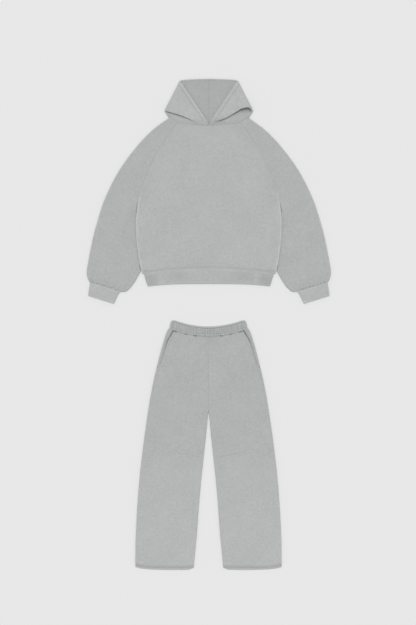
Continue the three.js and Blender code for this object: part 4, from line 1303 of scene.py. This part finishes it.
def waist_gathers(x, y, side):
    """Short puckers under the waistband, deepest at a few spots."""
    below = waist_seam(x) - y
    random = np.random.default_rng(81 + side)
    phase = x / 11.5 + 0.5 * np.sin(x / 17 + random.uniform(0, 6)) + 0.3 * np.sin(x / 7.3)
    ripple = 0.8 * np.sin(math.tau * phase / 1.6) * np.exp(-np.maximum(0, below) / 14)
    pits = sum(-3.4 * bump(x, spot, 6) * bump(below, 3, 3.4) for spot in WAIST_SPOTS[side])
    fading = np.exp(-np.maximum(0, below) / 24)
    valleys = sum(-0.9 * bump(x, spot, 6) * fading for spot in WAIST_SPOTS[side])
    crest = 0.5 * bump(below, 12, 6) - 0.7 * bump(below, 8, 2.4) * (1 - ease(x, 38, 50))
    return (ripple + pits + valleys + crest) * ease(below, -1, 1)


def dart_relief(x, y):
    """A sewn dip across the knee, with a soft ridge above it."""
    dart, along, length = path_distance(x, y, KNEE_DART)
    above = y - np.interp(x, *np.transpose(KNEE_DART[::-1]))
    ridge = 0.9 * bump(above, 5, 4) * (x < KNEE_DART[0][0])
    return (-1.25 * bump(dart, 0, 1.7) + ridge) * ease(along, 0, 22) * ease(length - along, -1, 8)


def front_relief(x, y, side, outer, height):
    above_hem = y - leg_row(0, x, front_hem)
    hem_top = 1.3 * bump(above_hem, 15, 9) - 2.4 * (1 - ease(above_hem, 0, 9))
    centre = sewn(x, 2.4, 0.12, 0.25) * ease(y, CROTCH, CROTCH + 30) * (1 - 0.8 * ease(y, 930, 970))
    inner = ease(x, leg_inner(height) + 4, leg_inner(height) + 30) * (1 - ease(x, outer - 34, outer - 10))
    soft = creases(x, y, LEG_CREASES[side]) + 0.32 * lumps(x, y, 130, 91 + side)
    soft = soft + 0.1 * lumps(x, y, 44, 95 + side)
    return dart_relief(x, y) + hem_top + centre + inner * soft + waist_gathers(x, y, side)


def back_relief(x, y, side):
    return 0.25 * np.maximum(0, lumps(x, y, 120, 99 + side))


print("deep gathers at x", WAIST_SPOTS[1], "on the left and", WAIST_SPOTS[-1], "on the right")

# %% Tone of the legs
LEG_TONES = [(0, 1.055), (180, 1.052), (300, 1.044), (450, 1.026), (492, 0.999), (760, 0.99)]
LEG_TONES += [(940, 0.983), (1004, 0.967)]
leg_tone = follow(LEG_TONES)


def front_tone(grid, side):
    """Painted shade at the hem's rounded turn, in the puckers and the seam under the waistband, and beside
    the outer seam; a little darker high up round the centre.
    """
    across, up = np.abs(grid[..., 0]), grid[..., 1]
    # Painted shade at the hem's rounded turn.
    tone = leg_tone(up) - 0.09 * (1 - ease(up - leg_row(0, across, front_hem), 2, 9))
    below_waist = waist_seam(across) - up
    # Painted shade in the puckers and along the seam under the waistband.
    pits = sum(bump(across, spot, 6) for spot in WAIST_SPOTS[side]) * (0.35 + 0.25 * ease(across, 110, 130))
    tone = tone * (1 - pits * bump(below_waist, 3, 3) - 0.13 * bump(below_waist, 0, 3.4))
    from_seam = outseam(np.clip(up, 0, WAIST_ROW)) - across
    painted_shade_beside_seam = bump(from_seam, 7, 4) * ease(up, 700, 790) * (1 - ease(up, 870, 890))
    at_centre = bump(across, 0, 45) * ease(up, 905, 955)
    return tone - 0.06 * painted_shade_beside_seam - 0.055 * at_centre


print("tone at the hem and the waist:", [round(float(leg_tone(y)), 3) for y in (0, WAIST_ROW)])

# %% Leg panels
LEG_HEIGHTS = {
    True: spaced((0, 60, 22), (60, 460, 86), (460, 496, 25), (496, 940, 96), (940, WAIST_ROW, 34)),
    False: spaced((0, 60, 14), (60, WAIST_ROW, 130)),
}  # in front and behind; the rows lie closest at the knee dart
LEG_CELLS = {True: 56, False: 36}
MOUTH_RAISED = 3.1  # the front lies on the hip piece
MOUTH_OPEN = 2.6
LEG_BEAD = 0.9


def leg_section(height, side, is_front, hem):
    """One row across a panel, from the inner seam to the outer seam or the pocket mouth."""
    opened = float(ease(height, POCKET_CLOSED, POCKET_OPEN)) if is_front else 0.0
    outer = float(outseam(height))
    if is_front and height > POCKET_CLOSED:
        outer = mix(outer, float(pocket_mouth(height)), opened)
    inner = float(leg_inner(height))
    front_z = front_layer(FLEECE, float(leg_air(height)))

    def level(x):
        over = opened * ease(x, outer - 48, outer - 20)
        lifted = MOUTH_OPEN * opened * gape(height) * ease(x, outer - 20, outer)
        return front_z + MOUTH_RAISED * over + lifted if is_front else BACK_LAYER

    other = BACK_LAYER if is_front else front_z
    inset_in, z_in = layer_edge(float(leg_bend(height)), float(level(inner)), other)
    inset_out, z_out = layer_edge(1 - opened, float(level(outer)), other)
    inset_in = inset_in - 0.05 * float(ease(height, 905, 955))  # pressed shut near the waist
    inner_x, share = inner + inset_in, np.arange(1, LEG_CELLS[is_front]) / LEG_CELLS[is_front]
    x = mix(inner_x[-1], outer - inset_out[-1], share)
    y = leg_row(height, x, hem)
    relief = front_relief(x, y, side, outer, height) if is_front else back_relief(x, y, side)
    if is_front:
        at_seam = front_relief(inner_x, leg_row(height, inner_x, hem), side, outer, height)
        z_in = z_in + at_seam * np.linspace(0, 1, EDGE_STEPS + 1)
    xs = np.concatenate([inner_x, x, (outer - inset_out)[::-1]])
    zs = np.concatenate([z_in, level(x) + relief, z_out[::-1]])
    return np.stack([side * xs, leg_row(height, xs, hem), zs], axis=1)


def leg_panel(node, side, is_front):
    hem = front_hem if is_front else back_hem
    grid = np.array([leg_section(height, side, is_front, hem) for height in LEG_HEIGHTS[is_front]])
    tone = front_tone(grid, side) if is_front else leg_tone(grid[..., 1])
    wall(node, grid, tone, TROUSERS_AT, beads=(LEG_BEAD, 0), face_up=is_front)


for word, side in SIDES.items():
    leg_panel(f"trouser_front_{word}", side, True)
    leg_panel(f"trouser_back_{word}", side, False)

# %% [markdown]
# The hip piece lies one layer lower than the front, and its inner part goes on under it to the pocket bag.
# It sags a little at the mouth, and painted shade darkens it there, so the opening reads as a dark slot.

# %% Hip pieces at the pockets
FACING_LOW = 842
slot_shade = follow([(850, 0.12), (932, 0.16), (950, 0.32), (962, 0.6), (1000, 0.65)])  # how much painted shade darkens the slot


def facing_section(height, side):
    tucked = 5 * (1 - float(ease(height, FACING_LOW, 860)))  # its lower end goes under the front
    seam_edge = float(outseam(height)) - tucked
    mouth = float(pocket_mouth(height))
    front_z = front_layer(FLEECE, float(leg_air(height)))
    inset, z = layer_edge(1, front_z, BACK_LAYER)
    x = np.linspace(mouth - 11, seam_edge - inset[-1], 26)[:-1]
    sag = -2.2 * bump(x, mouth + 2, 6) * gape(height)
    xs = np.concatenate([x, (seam_edge - inset)[::-1]])
    zs = np.concatenate([front_z + sag, z[::-1]])
    return np.stack([side * xs, leg_row(height, xs, back_hem), zs], axis=1)


def pocket_facing(node, side):
    grid = np.array([facing_section(height, side) for height in np.linspace(FACING_LOW, WAIST_ROW, 48)])
    up = grid[..., 1]
    # Painted shade in the slot at the pocket mouth.
    in_slot = bump(np.abs(grid[..., 0]), pocket_mouth(up) + 2, 3.2)
    wall(node, grid, leg_tone(up) * (1 - slot_shade(up) * in_slot), TROUSERS_AT, face_at=(20, 8))


for word, side in SIDES.items():
    pocket_facing(f"pocket_facing_{word}", side)

# %% [markdown]
# ## Waistband
#
# The waistband is a tube of the same fleece over an elastic, which gathers it all round. A line of stitches
# near its lower edge keeps the elastic in place. The gathers are uneven, as elastic makes them.

# %% Lines and gathers of the waistband
# Share of the way up, how full the gathers are there, and the air inside.
BAND_ROWS = [(0, 0.45, 1.5), (0.14, 0.5, 1.5), (0.27, 0.12, 0.7), (0.33, 0.3, 1.2), (0.62, 1, 2.1)]
BAND_ROWS += [(0.86, 0.9, 2.4), (1, 0.5, 2.2)]
BAND_DROP = 9.5  # the front layer's upper edge lies this much lower than the back's
BAND_STITCHES = 0.27  # share of the way up
GATHERS = 60
GATHERS_FROM = 285

gather_at = follow([(t, gather) for t, gather, _ in BAND_ROWS])
band_air = follow([(t, air) for t, _, air in BAND_ROWS])
band_half = follow([(0, 164), (0.5, 162), (1, 156)])


def band_top(out):
    """The back layer's upper edge, by the share of the way out to the side."""
    return 1016.7 + 25.4 * np.minimum(1, out / 0.9) ** 2


def gathers(x, t):
    """Leaning ridges of uneven height, width and distance."""
    random = np.random.default_rng(17)
    centres = np.cumsum(random.uniform(6.4, 12.6, GATHERS)) - GATHERS_FROM
    heights = random.uniform(0.55, 1.25, GATHERS)
    widths = random.uniform(2.1, 3.3, GATHERS)
    leans = random.uniform(-3.5, 3.5, GATHERS)
    centres = centres + leans * (t - 0.5)
    ridges = sum(h * bump(x, c, w) for c, h, w in zip(centres, heights, widths))
    return 3.4 * ridges - 1.5


print("waistband:", 2 * round(float(band_half(0))), "mm wide at its seam")

# %% Waistband
BAND_WIDTH = 322
BAND_BEAD = 0.7
BAND_FRONT, BAND_BACK = inner_shares(330, BAND_WIDTH), inner_shares(110, BAND_WIDTH)
BAND_FRONT_TONE, BAND_BACK_TONE = 1.005, 0.98


def band_front_tone(x, t, folds):
    """Painted shade between the gathers, in the stitch line and at the seam."""
    patchy = (0.6 + 0.4 * ease(np.abs(x), 6, 26)) * (1 + 0.45 * lumps(x, 0, 24, 19))
    lines = (0.32 * bump(t, BAND_STITCHES, 0.045) + 0.11 * bump(t, 0, 0.05)) * patchy
    lines = lines - 0.03 * lumps(x, 36 * t, 9, 23)
    return BAND_FRONT_TONE - 0.16 * ease(-folds, -0.6, 1.4) * float(gather_at(t)) - lines


def band_section(t):
    half = float(band_half(t))

    def air(s):
        return np.full_like(s, float(band_air(t)))

    def shift(s, on_front):
        out = np.abs(2 * s - 1)
        bottom = waist_seam(out * half) + SEAM
        return np.stack([np.zeros_like(s), mix(bottom, band_top(out) - on_front * BAND_DROP, t)])

    x = mix(-half, half, BAND_FRONT)
    folds = gathers(x, t)
    wave = folds * float(gather_at(t)) - 1.0 * bump(t, BAND_STITCHES, 0.035)
    section = tube_loop((-half, 0), (half, 0), FLEECE, air, BAND_FRONT, BAND_BACK, wave, shift)
    # Painted shade on the back layer just under the front layer's upper edge, and a painted highlight on its
    # own upper rim.
    back_tone = BAND_BACK_TONE - 0.22 * float(bump(t, 0.80, 0.055)) + 0.13 * float(ease(t, 0.83, 0.95))
    tone = np.full(len(section), back_tone)
    tone[TUBE_FOLD + 1 : TUBE_FOLD + 1 + len(x)] = band_front_tone(x, t, folds)
    return section, tone


sections, tones = (np.array(part) for part in zip(*map(band_section, np.linspace(0, 1, 41))))
wall("waistband", sections, tones, TROUSERS_AT, closed=True, beads=(0, BAND_BEAD), face_at=(22, 170))

# %% [markdown]
# ## Stitches
#
# A seam's stitches repeat along a path, so a small node tree lays them: it takes a line, walks along it in
# equal steps, sets one short piece of thread at each step, turns it along the line and joins all into one
# mesh. The line itself is found by dropping points onto the cloth from above.

# %% Stitch node tree
STITCH_SIZES = {"Stitch length": 0.0026, "Pitch": 0.0036, "Thread radius": 0.00042}  # metres


def stitch_tree():
    """The node group, and its sockets' identifiers by label."""
    tree = bpy.data.node_groups.new("stitches", "GeometryNodeTree")
    socket = tree.interface.new_socket
    socket("Geometry", in_out="INPUT", socket_type="NodeSocketGeometry")
    kinds = dict.fromkeys(STITCH_SIZES, "NodeSocketFloat") | {"Thread": "NodeSocketMaterial"}
    sockets = {}
    for label, kind in kinds.items():
        sockets[label] = socket(label, in_out="INPUT", socket_type=kind).identifier
    socket("Geometry", in_out="OUTPUT", socket_type="NodeSocketGeometry")
    add = nodes_of(tree)
    given = add("NodeGroupInput").outputs

    path = add("GeometryNodeMeshToCurve", {"Mesh": given["Geometry"]})
    walk = {"Curve": path.outputs["Curve"], "Length": given["Pitch"]}
    walked = add("GeometryNodeResampleCurve", walk, mode="LENGTH")
    heading = add("GeometryNodeInputTangent")
    turned = add("FunctionNodeAlignRotationToVector", {"Vector": heading.outputs["Tangent"]}, axis="X")

    length = {"Length": given["Stitch length"]}
    line = add("GeometryNodeCurvePrimitiveLine", length, {"Direction": (1, 0, 0)}, mode="DIRECTION")
    cut = add("GeometryNodeResampleCurve", {"Curve": line.outputs["Curve"]}, {"Count": 4})
    ring = add("GeometryNodeCurvePrimitiveCircle", {"Radius": given["Thread radius"]}, {"Resolution": 6})
    swept = {"Curve": cut.outputs["Curve"], "Profile Curve": ring.outputs["Curve"]}
    tube = add("GeometryNodeCurveToMesh", swept, {"Fill Caps": True})

    placed = {"Points": walked.outputs["Curve"], "Instance": tube.outputs["Mesh"]}
    laid = add("GeometryNodeInstanceOnPoints", {**placed, "Rotation": turned.outputs["Rotation"]})
    joined = add("GeometryNodeRealizeInstances", {"Geometry": laid.outputs["Instances"]})
    threaded = {"Geometry": joined.outputs["Geometry"], "Material": given["Thread"]}
    coloured = add("GeometryNodeSetMaterial", threaded)
    add("NodeGroupOutput", {"Geometry": coloured.outputs["Geometry"]})
    return tree, sockets


stitches_group, stitch_sockets = stitch_tree()
print("stitch inputs:", list(stitch_sockets))

# %% Stitch helpers
THREAD_SINK = 0.0001  # metres
DROP_FROM = 0.2
LINE_POINTS = 160
LONG_LINE_POINTS = 400

sewn_on = {}  # each solid's stitches, by the name of the solid


def drop_onto(piece, points, place):
    """The points on top of a piece of cloth, straight below the given places in mm."""
    mesh = piece.data
    surface = BVHTree.FromPolygons([v.co for v in mesh.vertices], [p.vertices for p in mesh.polygons])
    found = []
    for x, y in points:
        above = Vector(((x + place[0]) / 1000, (y + place[1]) / 1000, DROP_FROM))
        hit = surface.ray_cast(above, Vector((0, 0, -1)))[0]
        if hit is not None:
            found.append(hit - Vector((0, 0, THREAD_SINK)))
    return found


def stitch_line(name, node, lines, place):
    """One mesh of stitches on a piece of cloth, along several lines of places in mm."""
    points, edges = [], []
    for line in lines:
        dropped = drop_onto(cloth[node], line, place)
        edges += [(k, k + 1) for k in range(len(points), len(points) + len(dropped) - 1)]
        points += dropped
    mesh = bpy.data.meshes.new(name + "_path")
    mesh.from_pydata(points, edges, [])
    path = bpy.data.objects.new(name + "_path", mesh)
    bpy.context.scene.collection.objects.link(path)
    modifier = path.modifiers.new("stitches", "NODES")
    modifier.node_group = stitches_group
    modifier[stitch_sockets["Thread"]] = thread
    for label, size in STITCH_SIZES.items():
        modifier[stitch_sockets[label]] = size
    done = bpy.data.meshes.new_from_object(path.evaluated_get(bpy.context.evaluated_depsgraph_get()))
    done.name = name
    path.modifiers.remove(modifier)
    bpy.data.objects.remove(path)
    piece = bpy.data.objects.new(name, done)
    bpy.context.scene.collection.objects.link(piece)
    sewn_on[node] = [piece]


print("stitches to the metre:", round(1 / STITCH_SIZES["Pitch"]))

# %% Stitches on the pullover
up = BRIM_CORNER - BRIM_START
away = np.array([up[1], -up[0]])
away = away / np.linalg.norm(away) * BRIM_BAND
t = np.linspace(0.07, 0.93, LINE_POINTS)[:, None]
brim_line = mix(BRIM_START + away, BRIM_CORNER + away, t)
for word, side in SIDES.items():
    stitch_line(f"stitches_brim_{word}", f"hood_{word}", [brim_line * np.array([side, 1])], PULLOVER_AT)

x = np.linspace(-262, 262, LONG_LINE_POINTS)
rib_line = np.stack([x, rib_seam(x) + RIB_STITCHES], axis=1)
stitch_line("stitches_above_rib", "pullover_front", [rib_line], PULLOVER_AT)
print("stitched:", list(sewn_on))

# %% Stitches on the trousers
HEM_STITCHES = 24  # above the hem
MOUTH_STITCHES = 7  # from the pocket mouth
BAND_MIDDLE_HALF = 163

x = np.linspace(70, 298, LINE_POINTS)
hem_line = np.stack([x, leg_row(0, x, front_hem) + HEM_STITCHES], axis=1)
y = np.linspace(880, 985, LINE_POINTS)
mouth_x = pocket_mouth(y)
mouth_y = y + (waist_seam(mouth_x) - WAIST_ROW) * ease(y, 868, WAIST_ROW)
mouth_line = np.stack([mouth_x - MOUTH_STITCHES, mouth_y], axis=1)
for word, side in SIDES.items():
    lines = [line * np.array([side, 1]) for line in (hem_line, mouth_line)]
    stitch_line(f"stitches_leg_{word}", f"trouser_front_{word}", lines, TROUSERS_AT)

x = np.linspace(-152, 152, LONG_LINE_POINTS)
band_upper = band_top(np.abs(x) / BAND_MIDDLE_HALF) - BAND_DROP
band_line = np.stack([x, mix(waist_seam(x) + SEAM, band_upper, BAND_STITCHES)], axis=1)
stitch_line("stitches_waistband", "waistband", [band_line], TROUSERS_AT)
all_stitches = [line for lines in sewn_on.values() for line in lines]
print("stitches:", sum(len(s.data.polygons) for s in all_stitches), "faces in", len(all_stitches), "meshes")

# %% [markdown]
# ## Tie the pieces to the frame
#
# Each piece of cloth stands for its solid, which is hidden, and rides on the only body. The table lists each
# kind's flat size, the cut before sewing, all round for a tube and with the fullness that gathers take up,
# then its area and its finish; only the areas are used here, in the total.

SHEETS = {
    "pullover_front": ((0.612, 0.63), 0.325, "fleece"),
    "pullover_back": ((0.612, 0.63), 0.327, "fleece"),
    "sleeve": ((0.46, 0.78), 0.22, "fleece"),
    "cuff": ((0.27, 0.055), 0.0142, "rib"),
    "hem_rib": ((1.09, 0.066), 0.069, "rib"),
    "hood": ((0.38, 0.26), 0.054, "fleece"),
    "waistband": ((0.8, 0.042), 0.033, "fleece"),
    "trouser_front": ((0.307, 1.0), 0.239, "fleece"),
    "trouser_back": ((0.307, 1.012), 0.245, "fleece"),
    "pocket_facing": ((0.046, 0.14), 0.0045, "fleece"),
}

total_area = 0
for kind, (flat, area, slot) in SHEETS.items():
    for node in [kind] if kind in cloth else [f"{kind}_{word}" for word in SIDES]:
        piece, stitched = cloth[node], sewn_on.get(node, [])
        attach(piece, "root")
        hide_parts(node)
        for line in stitched:
            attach(line, "root")
        total_area += area
print("sheets:", len(cloth), "of", round(total_area, 3), "square metres in all")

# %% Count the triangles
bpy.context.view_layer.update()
triangles = sum(2 * len(o.data.polygons) for o in bpy.data.objects if o.type == "MESH" and not o.hide_render)
print("about", triangles, "triangles")
